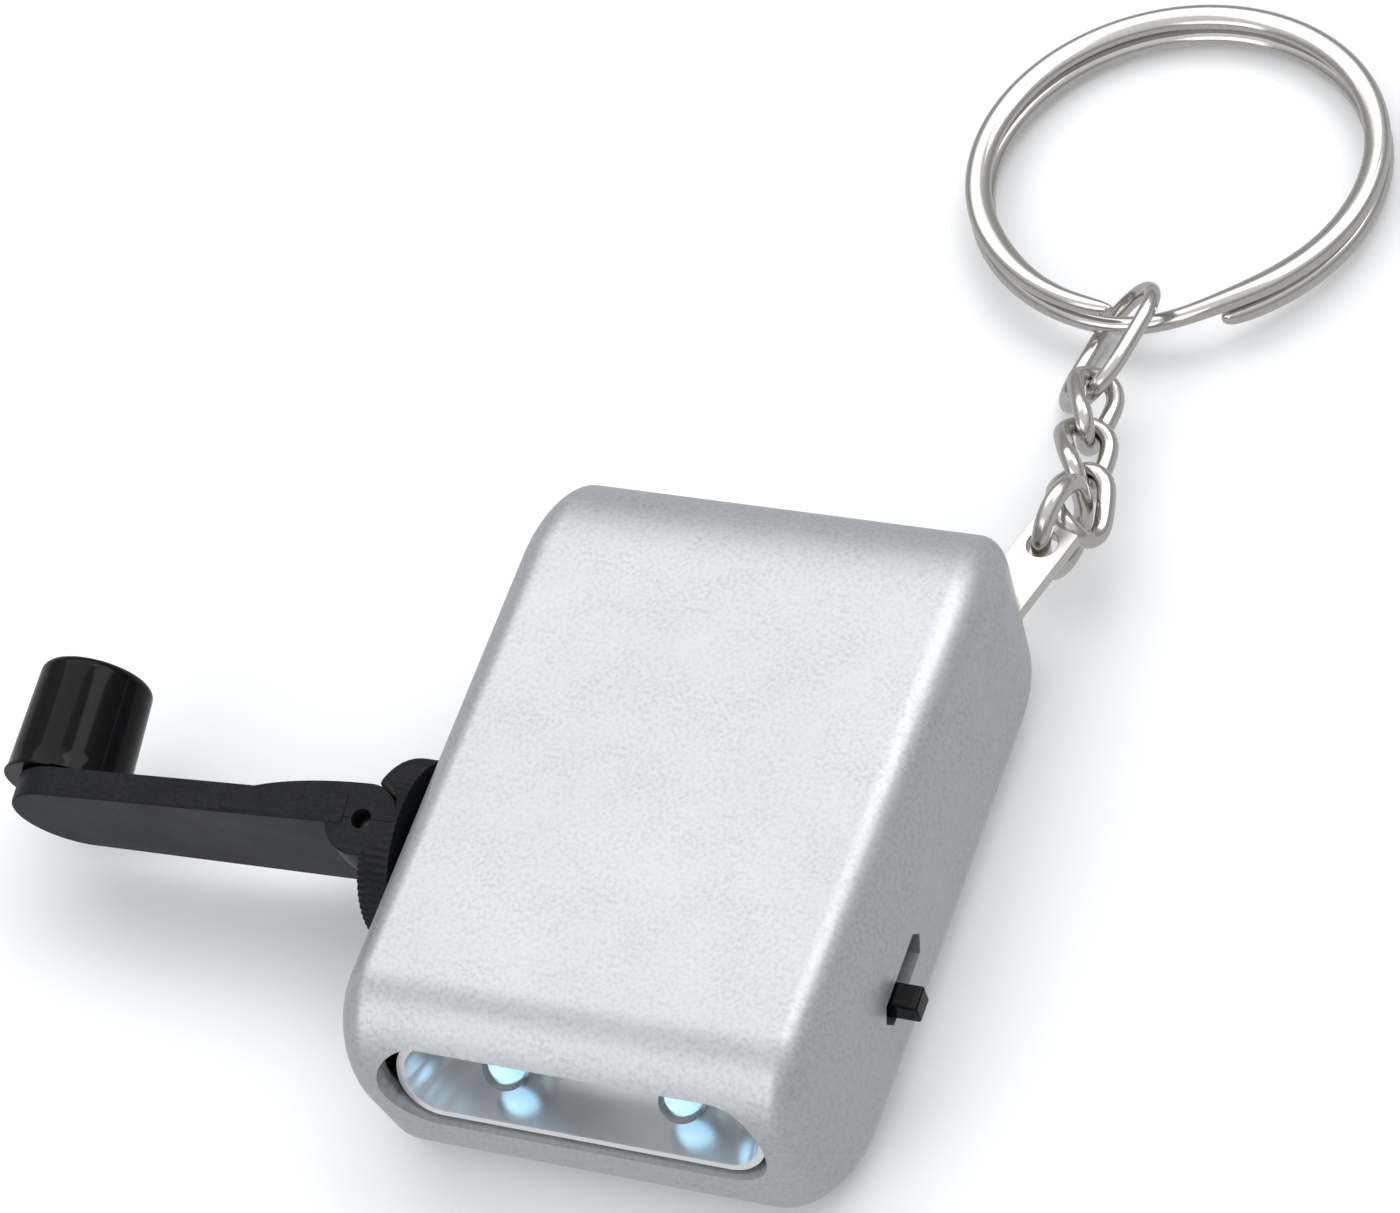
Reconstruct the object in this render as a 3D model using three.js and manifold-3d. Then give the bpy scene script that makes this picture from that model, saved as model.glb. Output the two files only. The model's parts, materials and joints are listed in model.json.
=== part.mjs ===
// A wind-up keychain light: a silver two-part case, a folding crank, a gear train, a small generator,
// two light-emitting diodes in a chrome reflector, and a chain with a split ring.
// Millimetres. The case lies on its back on z = 0, +Y runs towards the key ring, +X towards the switch.
// The origin is on the case's back, under the middle of the case.
import * as THREE from 'three';
import { mergeVertices } from 'three/addons/utils/BufferGeometryUtils.js';
import Module from 'manifold-3d';

const wasm = await Module();
wasm.setup();

// Driving dimensions
const overrun = 2; // how far a cutting solid runs past what it cuts
const runningGap = 0.3; // between pieces that turn or slide past each other
const fitGap = 0.15; // between pieces that are fitted together and stay still

const caseSize = {
  width: 34, length: 46, height: 15.6, wall: 1.5, partingZ: 7.4,
  topSideRoll: 3.2, backRoll: 7.4, frontRoll: 5.5, frontRollDrop: 7.3, backRollDrop: 4.2,
  floorSideRoll: 4.6, floorFrontRoll: 7.2, floorRollRise: 3.7, leastInnerRound: 0.8,
};

// The works are laid out for this room inside the case, and follow it where the case changes: sizes marked
// x, y or rise stretch with the room, heights marked z keep their share of it, and the rest stays in
// proportion.
const drawnRoom = { x: 31, y: 43, rise: 12.6 };
const roomShare = {
  x: (caseSize.width - 2 * caseSize.wall) / drawnRoom.x,
  y: (caseSize.length - 2 * caseSize.wall) / drawnRoom.y,
  rise: (caseSize.height - 2 * caseSize.wall) / drawnRoom.rise,
};
const leastShare = Math.min(roomShare.x, roomShare.y, roomShare.rise);
const inRoom = (sizes, ways = {}) => Object.fromEntries(Object.entries(sizes).map(([name, value]) => [
  name,
  ways[name] === 'z'
    ? caseSize.wall + (value - caseSize.wall) * roomShare.rise
    : value * (roomShare[ways[name]] ?? leastShare),
]));

const mouth = inRoom(
  { halfWidth: 13.3, floorZ: 5.9, roofZ: 12.9, cornerRadius: 3.4, inset: 3.5 },
  { halfWidth: 'x', floorZ: 'z', roofZ: 'z', inset: 'y' });
const reflectorSize = inRoom(
  {
    lowerLipY: -22.55, upperLipY: -21.1, backY: -15.2, backWall: 0.9, shellWall: 0.4,
    backHalfWidth: 10.8, backFloorZ: 6.0, backRoofZ: 10.4, backCorner: 1.2,
  },
  { lowerLipY: 'y', upperLipY: 'y', backY: 'y', backHalfWidth: 'x', backFloorZ: 'z', backRoofZ: 'z' });
const ledSize = inRoom(
  {
    radius: 1.5, flangeRadius: 1.9, flangeDepth: 0.9, length: 4.3, spacing: 12.2, axisZ: 8.1,
    leadSize: 0.5, leadSpacing: 1.4, leadLength: 1.5,
  },
  { spacing: 'x', axisZ: 'z' });
const ledBoardSize = inRoom(
  { thickness: 0.8, halfWidth: 11, top: 12.4, gapToLed: 0.4 }, { halfWidth: 'x', top: 'z' });

const gearTeeth = { wheel: 26, pinion: 10, pressureAngle: 20, addendumShare: 0.9, dedendumShare: 1.25 };
const gearSize = inRoom({ module: 0.4, backlash: 0.14, wheelWidth: 1.5 }, { wheelWidth: 'x' });
const trainSize = inRoom(
  { axisZ: 7.8, crankY: -5, planePitch: 2.3, firstPlaneX: -13.4, arborRadius: 0.5 },
  { axisZ: 'z', crankY: 'y', planePitch: 'x', firstPlaneX: 'x' });
const frameSize = inRoom(
  {
    plate: 0.8, leftX: -15.0, frontY: -12.35, backY: 20.0, baseZ: 2.7, topZ: 12.9, cornerRadius: 1.6,
    pillarRadius: 1.2,
  },
  { plate: 'x', leftX: 'x', frontY: 'y', backY: 'y', baseZ: 'z', topZ: 'z' });
const generatorSize = inRoom(
  {
    magnetRadius: 3.0, magnetLength: 4.0, coreThickness: 3.0, coreRing: 1.15, airGap: 0.35, poleSlit: 0.9,
    legHeight: 1.3, frameGap: 1.4, yokeY: 1.0, yokeWidth: 2.0, bobbinFlange: 0.6, bobbinWall: 0.5,
    coilDepth: 1.1,
  },
  { yokeY: 'y' });
const crankSize = {
  hubRadius: 6.3, hubThickness: 3.0, domeRadius: 4.7, domeDepth: 1.6, serrations: 56, serrationDepth: 0.16,
  seatDepth: 0.7, journalRadius: 3.0, shaftRadius: 1.2, wallGap: 0.2, restTurn: 10, restFold: 2.9,
};
const hingeSize = { outset: 3.3, knuckleRadius: 2.55, lugRadius: 2.3, lugHalfHeight: 1.85, pinRadius: 0.55 };
const armSize = {
  length: 27.8, backOffset: 0.5, thickness: 2.1, hingeHalfWidth: 5.2, tipHalfWidth: 4.4,
  knuckleHalfHeight: 5.0, humpLength: 5.6, pinRecess: 0.8, tipLength: 4.2,
};
const knobSize = {
  fromTip: 3.0, baseRadius: 4.3, endRadius: 3.95, length: 8.4, edgeRound: 0.5,
  stubRadius: 1.5, headRadius: 2.0, headLength: 0.9, stubLength: 6.6, endWall: 1.1,
};
const switchPlace = inRoom({ centreY: -9.4, bodyWidth: 3.8 }, { centreY: 'y', bodyWidth: 'x' });
const switchSize = {
  knobWidth: 1.8, knobHeight: 1.6, underParting: 0.9, reach: 1.8, travel: 3.0, notchPoint: 0.7,
  bodyLength: 7.6, bodyHeight: 3.6, bodyWall: 0.6,
};
const boardPlace = inRoom(
  { frontY: -12.3, backY: 4.5, leftX: 1.4, rightX: 14.8, diodeWidth: 1.5, diodePitch: 2.3 },
  { frontY: 'y', backY: 'y', leftX: 'x', rightX: 'x', diodeWidth: 'x', diodePitch: 'x' });
const boardSize = {
  underParting: 3.2, thickness: 0.8, postRadius: 1.2, diodeLength: 3.2, diodeHeight: 1.3,
  capacitorRadius: 2.0, capacitorHeight: 5.0,
};
const cellSize = inRoom({ y: 10.2, radius: 5.3, height: 5.2, edge: 0.4 }, { y: 'y' });
const screwPlace = inRoom(
  { frontX: 13.2, frontY: -14.5, backX: 3.4, backY: 19.3, length: 9.5 },
  { frontX: 'x', frontY: 'y', backX: 'x', backY: 'y', length: 'rise' });
const screwSize = {
  headRadius: 1.25, headHeight: 1.1, headRecess: 1.0, shankRadius: 0.5, bossRadius: 1.7,
  slotWidth: 0.35, slotDepth: 0.4,
};
const tabSize = {
  width: 3.6, thickness: 1.0, holeRadius: 1.08, endMargin: 1.65,
  reach: 9.0, bearing: 17.5, holeFromSide: 1.0, holeBeyondEnd: 2.9,
};
const tabZ = caseSize.partingZ - tabSize.thickness / 2;
const tabHole = new THREE.Vector2(
  caseSize.width / 2 - tabSize.holeFromSide, caseSize.length / 2 + tabSize.holeBeyondEnd);
// The ring's middle lies this far from the tab's hole
const ringSize = {
  outerDiameter: 30.8, wire: 1.3, layerPitch: 1.76, besideHole: -2.32, beyondHole: 37.4, tilt: 2.9,
  endTurn: -62, stepTurn: 26, endGap: 3,
};
// Angles of each link in degrees: yaw from +Y towards +X, dip below level, and roll about its length
const jumpLink = {
  length: 8.0, width: 6.7, wire: 1.25, twist: 0, yaw: -28.7, dip: -95, roll: 130.3,
  aside: 0.34, beyondHole: 2.61, belowTab: 1.06,
};
const smallLink = { length: 7.3, width: 4.65, wire: 1.2, twist: -35 };
const firstLink = { ...smallLink, yaw: -16, dip: 8.4, roll: -21 };
const secondLink = { ...smallLink, yaw: -13.7, dip: 9, roll: 130.8 };
const thirdLink = { ...smallLink, yaw: -9, dip: 6.3, roll: 115 };
const bigLink = {
  length: 11.35, width: 7.9, wire: 1.15, twist: 0, yaw: 11.8, dip: -3.3, roll: 46,
  aside: 0.12, insideRing: -2.35, z: 3.13, hookTurn: 47,
};
const linkGap = 0.27; // between two links that hang in each other

// Mesh detail, in counts
const bodySteps = 9;
const cavitySteps = 5;
const roundSides = 32;
const smallSides = 20;
const lipSteps = 5;

// Helpers
const toRadians = THREE.MathUtils.degToRad;
const material = (color, roughness, metalness) =>
  new THREE.MeshStandardMaterial({ color, roughness, metalness });
const silverPaint = material(0xc4c7ca, 0.45, 0.6);
const chrome = material(0xe6e8ea, 0.08, 1);
const nickel = material(0xcfcac2, 0.2, 1);
const steel = material(0xb4b6b8, 0.3, 1);
const blackPlastic = material(0x15171a, 0.35, 0);
const whiteNylon = material(0xe9e6dc, 0.55, 0);
const clearEpoxy = material(0xcfe6f7, 0.05, 0);
const greenLaminate = material(0x2d6b3f, 0.6, 0);
const copper = material(0xb4693a, 0.4, 0.9);
const darkMagnet = material(0x3a3c3f, 0.5, 0.5);
const brass = material(0xc6a04e, 0.3, 0.9);

const positionsOnly = (geometry) => {
  const bare = geometry.clone();
  for (const name of Object.keys(bare.attributes)) {
    if (name !== 'position') bare.deleteAttribute(name);
  }
  return mergeVertices(bare, 1e-4);
};

// A geometry as a solid, without the triangles that merging made flat
const solid = (geometry) => {
  const merged = positionsOnly(geometry);
  const index = merged.index.array;
  const kept = [];
  for (let i = 0; i < index.length; i += 3) {
    const [a, b, c] = [index[i], index[i + 1], index[i + 2]];
    if (a !== b && b !== c && c !== a) kept.push(a, b, c);
  }
  const mesh = new wasm.Mesh({
    numProp: 3,
    vertProperties: new Float32Array(merged.attributes.position.array),
    triVerts: new Uint32Array(kept),
  });
  mesh.merge();
  return new wasm.Manifold(mesh);
};

const toGeometry = (manifold) => {
  const mesh = manifold.getMesh();
  const geometry = new THREE.BufferGeometry();
  geometry.setAttribute('position', new THREE.BufferAttribute(new Float32Array(mesh.vertProperties), 3));
  geometry.setIndex(new THREE.BufferAttribute(new Uint32Array(mesh.triVerts), 1));
  return geometry;
};

const box = (from, to) => {
  const size = to.map((value, i) => value - from[i]);
  const centre = to.map((value, i) => (value + from[i]) / 2);
  return solid(new THREE.BoxGeometry(...size).translate(...centre));
};

const turnTo = { x: (g) => g.rotateZ(-Math.PI / 2), y: (g) => g, z: (g) => g.rotateX(Math.PI / 2) };

// A cylinder or cone frustum between two places on an axis
const cylinder = (axis, centre, from, to, radius, endRadius = radius, sides = smallSides) => {
  const geometry = turnTo[axis](new THREE.CylinderGeometry(endRadius, radius, to - from, sides));
  const place = { x: [from + (to - from) / 2, ...centre], z: [...centre, from + (to - from) / 2] };
  place.y = [centre[0], from + (to - from) / 2, centre[1]];
  return solid(geometry.translate(...place[axis]));
};

// A turned solid about the Y axis from radius and height pairs
const turned = (profile, sides = roundSides) =>
  new THREE.LatheGeometry(profile.map(([r, h]) => new THREE.Vector2(r, h)), sides);

// An outline in the YZ plane extruded along X
const extrudeX = (shape, from, to, curveSegments = 6) => {
  const geometry = new THREE.ExtrudeGeometry(shape, { depth: to - from, bevelEnabled: false, curveSegments });
  const axes = new THREE.Matrix4().makeBasis(
    new THREE.Vector3(0, 1, 0), new THREE.Vector3(0, 0, 1), new THREE.Vector3(1, 0, 0));
  return solid(geometry.applyMatrix4(axes).translate(from, 0, 0));
};

// An outline in the XZ plane extruded along Y
const extrudeY = (shape, from, to, curveSegments = 8) => {
  const geometry = new THREE.ExtrudeGeometry(shape, { depth: to - from, bevelEnabled: false, curveSegments });
  return solid(geometry.rotateX(Math.PI / 2).translate(0, to, 0));
};

// The corners of a rounded rectangle as points, going round to the left from the bottom right
const roundedPoints = (left, bottom, right, top, radius, steps = 6) => {
  const corners = [[right - radius, bottom + radius], [right - radius, top - radius],
    [left + radius, top - radius], [left + radius, bottom + radius]];
  return corners.flatMap(([x, y], corner) => Array.from({ length: steps + 1 }, (_, i) => {
    const a = ((corner - 1 + i / steps) * Math.PI) / 2;
    return new THREE.Vector2(x + radius * Math.cos(a), y + radius * Math.sin(a));
  }));
};
const roundedRectangle = (...sides) => new THREE.Shape(roundedPoints(...sides));

// A closed solid through matching rings of points, with flat ends
const loft = (rings) => {
  const count = rings[0].length;
  const positions = rings.flat().flatMap((p) => [p.x, p.y, p.z]);
  const index = [];
  for (let r = 0; r + 1 < rings.length; r++) {
    for (let i = 0; i < count; i++) {
      const j = (i + 1) % count;
      const [a, b, c, d] = [r * count + i, r * count + j, (r + 1) * count + j, (r + 1) * count + i];
      index.push(a, b, c, a, c, d);
    }
  }
  const last = (rings.length - 1) * count;
  for (let i = 1; i + 1 < count; i++) {
    index.push(0, i + 1, i);
    index.push(last, last + i, last + i + 1);
  }
  const geometry = new THREE.BufferGeometry();
  geometry.setAttribute('position', new THREE.Float32BufferAttribute(positions, 3));
  geometry.setIndex(index);
  return geometry;
};

const object = new THREE.Group();
object.name = 'wind_up_keychain_light';
const addMesh = (parent, name, geometry, look) => {
  const mesh = new THREE.Mesh(geometry, look);
  mesh.name = name;
  parent.add(mesh);
  return mesh;
};
const addSolid = (parent, name, manifold, look) => addMesh(parent, name, toGeometry(manifold), look);

// The pillow-shaped case
// Each of the eight corners is an eighth of an ellipsoid; the rows and columns double where corners meet.
const pillow = (inset, steps) => {
  const s = caseSize;
  const reduce = (roll) => Math.max(roll - inset, s.leastInnerRound);
  const halfWidth = s.width / 2 - inset;
  const halfLength = s.length / 2 - inset;
  const rings = [];
  const row = (top, polar) => {
    const ring = [];
    for (const quadrant of [0, 1, 2, 3]) {
      const sideX = quadrant === 0 || quadrant === 3 ? 1 : -1;
      const sideY = quadrant < 2 ? 1 : -1;
      const rollX = reduce(top ? s.topSideRoll : s.floorSideRoll);
      const rollY = reduce(sideY > 0 ? s.backRoll : top ? s.frontRoll : s.floorFrontRoll);
      const rollZ = reduce(top ? (sideY > 0 ? s.backRollDrop : s.frontRollDrop) : s.floorRollRise);
      for (let i = 0; i <= steps; i++) {
        const azimuth = ((quadrant + i / steps) * Math.PI) / 2;
        const x = sideX * (halfWidth - rollX) + rollX * Math.cos(polar) * Math.cos(azimuth);
        const y = sideY * (halfLength - rollY) + rollY * Math.cos(polar) * Math.sin(azimuth);
        const z = top
          ? s.height - inset - rollZ + rollZ * Math.sin(polar)
          : inset + rollZ - rollZ * Math.sin(polar);
        ring.push(new THREE.Vector3(x, y, z));
      }
    }
    return ring;
  };
  for (let i = 0; i <= steps; i++) rings.push(row(false, ((1 - i / steps) * Math.PI) / 2));
  for (let i = 0; i <= steps; i++) rings.push(row(true, ((i / steps) * Math.PI) / 2));
  return solid(loft(rings));
};

const outerPillow = pillow(0, bodySteps);
const cavity = pillow(caseSize.wall, cavitySteps);
const slack = pillow(caseSize.wall + fitGap, cavitySteps);
const farX = caseSize.width / 2 + overrun;
const farY = caseSize.length / 2 + overrun;
const abovePart = box([-farX, -farY, caseSize.partingZ], [farX, farY, caseSize.height + overrun]);
const belowPart = box([-farX, -farY, -overrun], [farX, farY, caseSize.partingZ]);
const floorZ = caseSize.wall;
const ceilingZ = caseSize.height - caseSize.wall;

// Screws: two in front, one through the key tab, one beside the generator
const tabBearing = toRadians(tabSize.bearing);
const tabDirection = new THREE.Vector2(Math.sin(tabBearing), Math.cos(tabBearing));
const tabAnchor = tabHole.clone().addScaledVector(tabDirection, -tabSize.reach);
const screwPlaces = [
  { name: 'shell_screw_front_left', x: -screwPlace.frontX, y: screwPlace.frontY },
  { name: 'shell_screw_front_right', x: screwPlace.frontX, y: screwPlace.frontY },
  { name: 'shell_screw_tab', x: tabAnchor.x, y: tabAnchor.y, throughTab: true },
  { name: 'shell_screw_back', x: screwPlace.backX, y: screwPlace.backY },
];
const screwHeadTop = screwSize.headRecess + screwSize.headHeight;

// The key tab: a nickel strap screwed down inside the case, with the chain's hole outside
const strapBox = (grow) => {
  const geometry = new THREE.BoxGeometry(
    tabSize.width + 2 * grow, tabSize.reach + 2 * tabSize.endMargin + 2 * grow, tabSize.thickness + 2 * grow);
  const middle = tabSize.reach / 2;
  geometry.rotateZ(-tabBearing);
  geometry.translate(
    tabAnchor.x + tabDirection.x * middle, tabAnchor.y + tabDirection.y * middle,
    caseSize.partingZ);
  return solid(geometry);
};
const keyTab = strapBox(0)
  .subtract(cylinder('z', [tabHole.x, tabHole.y], tabZ - overrun,
    tabZ + tabSize.thickness + overrun, tabSize.holeRadius, tabSize.holeRadius, roundSides))
  .subtract(cylinder('z', [tabAnchor.x, tabAnchor.y], tabZ - overrun,
    tabZ + tabSize.thickness + overrun, screwSize.shankRadius + runningGap));

// The switch notch: a slot with pointed ends across the parting line of the right wall
const notchHalf = (switchSize.travel + switchSize.knobWidth) / 2 + runningGap;
const notchMiddleY = switchPlace.centreY + switchSize.travel / 2;
const knobZ = caseSize.partingZ - switchSize.underParting;
const notchLow = knobZ - runningGap;
const notchHigh = knobZ + switchSize.knobHeight + runningGap;
const notchShape = new THREE.Shape([
  new THREE.Vector2(notchMiddleY - notchHalf, notchLow),
  new THREE.Vector2(notchMiddleY + notchHalf, notchLow),
  new THREE.Vector2(notchMiddleY + notchHalf + switchSize.notchPoint, caseSize.partingZ),
  new THREE.Vector2(notchMiddleY + notchHalf, notchHigh),
  new THREE.Vector2(notchMiddleY - notchHalf, notchHigh),
  new THREE.Vector2(notchMiddleY - notchHalf - switchSize.notchPoint, caseSize.partingZ),
]);
const innerWallX = caseSize.width / 2 - caseSize.wall;
const switchNotch = extrudeX(notchShape, innerWallX - overrun, farX);

// The front mouth and the hole for the crank
const mouthCut = (grow) => extrudeY(
  roundedRectangle(-mouth.halfWidth - grow, mouth.floorZ - grow, mouth.halfWidth + grow, mouth.roofZ + grow,
    mouth.cornerRadius + grow), -farY, -caseSize.length / 2 + mouth.inset);
const crankAxis = [trainSize.crankY, trainSize.axisZ];
const journalHole = cylinder('x', crankAxis, -farX, -innerWallX + overrun,
  crankSize.journalRadius + runningGap, crankSize.journalRadius + runningGap, roundSides);

const shellCuts = mouthCut(0).add(journalHole).add(switchNotch).add(strapBox(fitGap));
const hollowCase = outerPillow.subtract(cavity).subtract(shellCuts);

// Screw bosses stand from floor to parting and hang from ceiling to parting
const boss = (place, from, to) => cylinder('z', [place.x, place.y], from, to, screwSize.bossRadius);
const tabTop = tabZ + tabSize.thickness;
const bossInside = (place, from, to) => boss(place, from, to).intersect(outerPillow);
let topShell = hollowCase.intersect(abovePart);
let bottomShell = hollowCase.intersect(belowPart);
for (const place of screwPlaces) {
  const lowerTop = place.throughTab ? tabZ : caseSize.partingZ;
  const upperFoot = place.throughTab ? tabTop : caseSize.partingZ;
  const pilotTop = screwHeadTop + screwPlace.length;
  const at = [place.x, place.y];
  topShell = topShell.add(bossInside(place, upperFoot, ceilingZ + caseSize.wall / 2))
    .subtract(cylinder('z', at, upperFoot - overrun, pilotTop + runningGap, screwSize.shankRadius + fitGap));
  bottomShell = bottomShell.add(bossInside(place, floorZ / 2, lowerTop))
    .subtract(cylinder('z', at, -overrun, screwHeadTop, screwSize.headRadius + fitGap))
    .subtract(cylinder('z', at, 0, lowerTop + overrun, screwSize.shankRadius + fitGap));
}

// Ribs on the floor carry the gear frame, and posts carry the circuit board
const frameRightX = frameSize.leftX + frameSize.plate * 2 + trainSize.planePitch * 3 + runningGap;
const ribWidth = 1.2;
for (const y of [frameSize.frontY + ribWidth, frameSize.backY - ribWidth]) {
  bottomShell = bottomShell.add(box([frameSize.leftX, y - ribWidth / 2, floorZ / 2],
    [frameRightX, y + ribWidth / 2, frameSize.baseZ]));
}
const boardZ = caseSize.partingZ - boardSize.underParting;
const boardPosts = [
  [boardPlace.leftX + boardSize.postRadius * 1.5, boardPlace.frontY + boardSize.postRadius * 1.5],
  [boardPlace.rightX - boardSize.postRadius * 3, boardPlace.frontY + boardSize.postRadius * 3],
  [boardPlace.leftX + boardSize.postRadius * 1.5, boardPlace.backY - boardSize.postRadius * 1.5],
  [boardPlace.rightX - boardSize.postRadius * 3, boardPlace.backY - boardSize.postRadius * 1.5],
];
for (const at of boardPosts) {
  bottomShell = bottomShell.add(cylinder('z', at, floorZ / 2, boardZ, boardSize.postRadius));
}
addSolid(object, 'top_shell', topShell, silverPaint);
addSolid(object, 'bottom_shell', bottomShell, silverPaint);
addSolid(object, 'key_tab', keyTab, nickel);

// Screws with a slotted head
for (const place of screwPlaces) {
  const at = [place.x, place.y];
  const screw = cylinder('z', at, screwSize.headRecess, screwHeadTop, screwSize.headRadius)
    .add(cylinder('z', at, screwSize.headRecess, screwHeadTop + screwPlace.length, screwSize.shankRadius))
    .subtract(box(
      [place.x - screwSize.headRadius - overrun, place.y - screwSize.slotWidth / 2, -overrun],
      [place.x + screwSize.headRadius + overrun, place.y + screwSize.slotWidth / 2,
        screwSize.headRecess + screwSize.slotDepth]));
  addSolid(object, place.name, screw, steel);
}

// The chrome reflector: a dish that narrows to a back wall with a hole for each diode. Its lip leans back
// towards the roof of the mouth, as the case's front does.
const outlineRing = (halfWidth, low, high, corner, yAt) =>
  roundedPoints(-halfWidth, low, halfWidth, high, corner, lipSteps).reverse()
    .map((p) => new THREE.Vector3(p.x, yAt(p.y), p.y));
const lipY = (z) => THREE.MathUtils.mapLinear(
  z, mouth.floorZ, mouth.roofZ, reflectorSize.lowerLipY, reflectorSize.upperLipY);
const dishBackY = reflectorSize.backY - reflectorSize.backWall;
const reflectorWall = reflectorSize.shellWall;
const lipRing = (grow, shift) => {
  const inset = reflectorWall + fitGap - grow;
  return outlineRing(mouth.halfWidth - inset, mouth.floorZ + inset, mouth.roofZ - inset,
    mouth.cornerRadius - reflectorWall + grow, (z) => lipY(z) + shift);
};
const backRing = (grow, backY) => outlineRing(
  reflectorSize.backHalfWidth + grow, reflectorSize.backFloorZ - grow, reflectorSize.backRoofZ + grow,
  reflectorSize.backCorner + grow, () => backY);
const lipWay = new THREE.Vector2(
  reflectorSize.upperLipY - reflectorSize.lowerLipY, mouth.roofZ - mouth.floorZ).normalize();
let reflector = solid(loft([lipRing(reflectorWall, -overrun), lipRing(reflectorWall, reflectorWall),
  backRing(reflectorWall, reflectorSize.backY)]))
  .subtract(solid(loft([lipRing(0, -overrun), backRing(0, dishBackY)])))
  .trimByPlane([0, lipWay.y, -lipWay.x], lipWay.y * reflectorSize.lowerLipY - lipWay.x * mouth.floorZ);
const ledPlaces = [
  { name: 'led_left', x: -ledSize.spacing / 2 },
  { name: 'led_right', x: ledSize.spacing / 2 },
];
for (const place of ledPlaces) {
  reflector = reflector.subtract(cylinder('y', [place.x, ledSize.axisZ], dishBackY - overrun,
    reflectorSize.backY + overrun, ledSize.radius + fitGap));
}
addSolid(object, 'reflector', reflector, chrome);

// Diodes: a domed body with a flange behind the reflector and two leads through their board
const ledFlangeY = reflectorSize.backY + fitGap;
const ledBoardY = ledFlangeY + ledSize.flangeDepth + ledBoardSize.gapToLed;
const ledProfile = () => {
  const bodyTop = ledSize.length + ledSize.flangeDepth;
  const points = [[0, 0], [ledSize.flangeRadius, 0], [ledSize.flangeRadius, ledSize.flangeDepth],
    [ledSize.radius, ledSize.flangeDepth], [ledSize.radius, bodyTop]];
  const domeSteps = 5;
  for (let i = 1; i < domeSteps; i++) {
    const angle = ((i / domeSteps) * Math.PI) / 2;
    points.push([ledSize.radius * Math.cos(angle), bodyTop + ledSize.radius * Math.sin(angle)]);
  }
  points.push([0, bodyTop + ledSize.radius]);
  return points;
};
const leadBox = (x, grow) => box(
  [x - ledSize.leadSize / 2 - grow, ledFlangeY + ledSize.flangeDepth / 2,
    ledSize.axisZ - ledSize.leadSize / 2 - grow],
  [x + ledSize.leadSize / 2 + grow, ledFlangeY + ledSize.flangeDepth + ledSize.leadLength,
    ledSize.axisZ + ledSize.leadSize / 2 + grow]);
let ledBoard = box([-ledBoardSize.halfWidth, ledBoardY, floorZ],
  [ledBoardSize.halfWidth, ledBoardY + ledBoardSize.thickness, ledBoardSize.top]);
for (const place of ledPlaces) {
  let led = solid(turned(ledProfile(), smallSides).rotateX(Math.PI)
    .translate(place.x, ledFlangeY + ledSize.flangeDepth, ledSize.axisZ));
  for (const side of [-1, 1]) {
    const leadX = place.x + (side * ledSize.leadSpacing) / 2;
    led = led.add(leadBox(leadX, 0));
    ledBoard = ledBoard.subtract(leadBox(leadX, fitGap));
  }
  addSolid(object, place.name, led, clearEpoxy);
}
addSolid(object, 'led_board', ledBoard, greenLaminate);

// Gears with involute flanks
const gearShape = (teeth, boreRadius) => {
  const g = gearSize;
  const pitchRadius = (g.module * teeth) / 2;
  const angle = toRadians(gearTeeth.pressureAngle);
  const baseRadius = pitchRadius * Math.cos(angle);
  const tipRadius = pitchRadius + g.module * gearTeeth.addendumShare;
  const rootRadius = pitchRadius - g.module * gearTeeth.dedendumShare;
  const involute = (a) => Math.tan(a) - a;
  const halfAngle = (radius) => {
    const at = Math.max(radius, baseRadius);
    const pitchHalf = (Math.PI * g.module) / 2 - g.backlash;
    return pitchHalf / (2 * pitchRadius) + involute(angle) - involute(Math.acos(baseRadius / at));
  };
  const low = Math.max(baseRadius, rootRadius + g.module / 10);
  const radii = [rootRadius, low, (low + tipRadius) / 2, tipRadius];
  const points = [];
  for (let tooth = 0; tooth < teeth; tooth++) {
    const centre = (tooth * 2 * Math.PI) / teeth;
    for (const r of radii) {
      const a = centre - halfAngle(r);
      points.push(new THREE.Vector2(r * Math.cos(a), r * Math.sin(a)));
    }
    for (const r of [...radii].reverse()) {
      const a = centre + halfAngle(r);
      points.push(new THREE.Vector2(r * Math.cos(a), r * Math.sin(a)));
    }
  }
  const shape = new THREE.Shape(points);
  const bore = new THREE.Path();
  bore.absarc(0, 0, boreRadius, 0, Math.PI * 2, true);
  shape.holes.push(bore);
  return shape;
};
const centreDistance = (gearSize.module * (gearTeeth.wheel + gearTeeth.pinion)) / 2;
const planeX = (n) => trainSize.firstPlaneX + n * trainSize.planePitch;
const halfPinionTooth = Math.PI / gearTeeth.pinion;
const wheel = (n, boreRadius) => extrudeX(gearShape(gearTeeth.wheel, boreRadius), planeX(n),
  planeX(n) + gearSize.wheelWidth, 4);
const pinion = (n, boreRadius, to) => extrudeX(gearShape(gearTeeth.pinion, boreRadius), planeX(n), to, 4)
  .rotate(THREE.MathUtils.radToDeg(halfPinionTooth), 0, 0);
const arborBore = trainSize.arborRadius + fitGap;
const shaftBore = crankSize.shaftRadius + fitGap;

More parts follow.
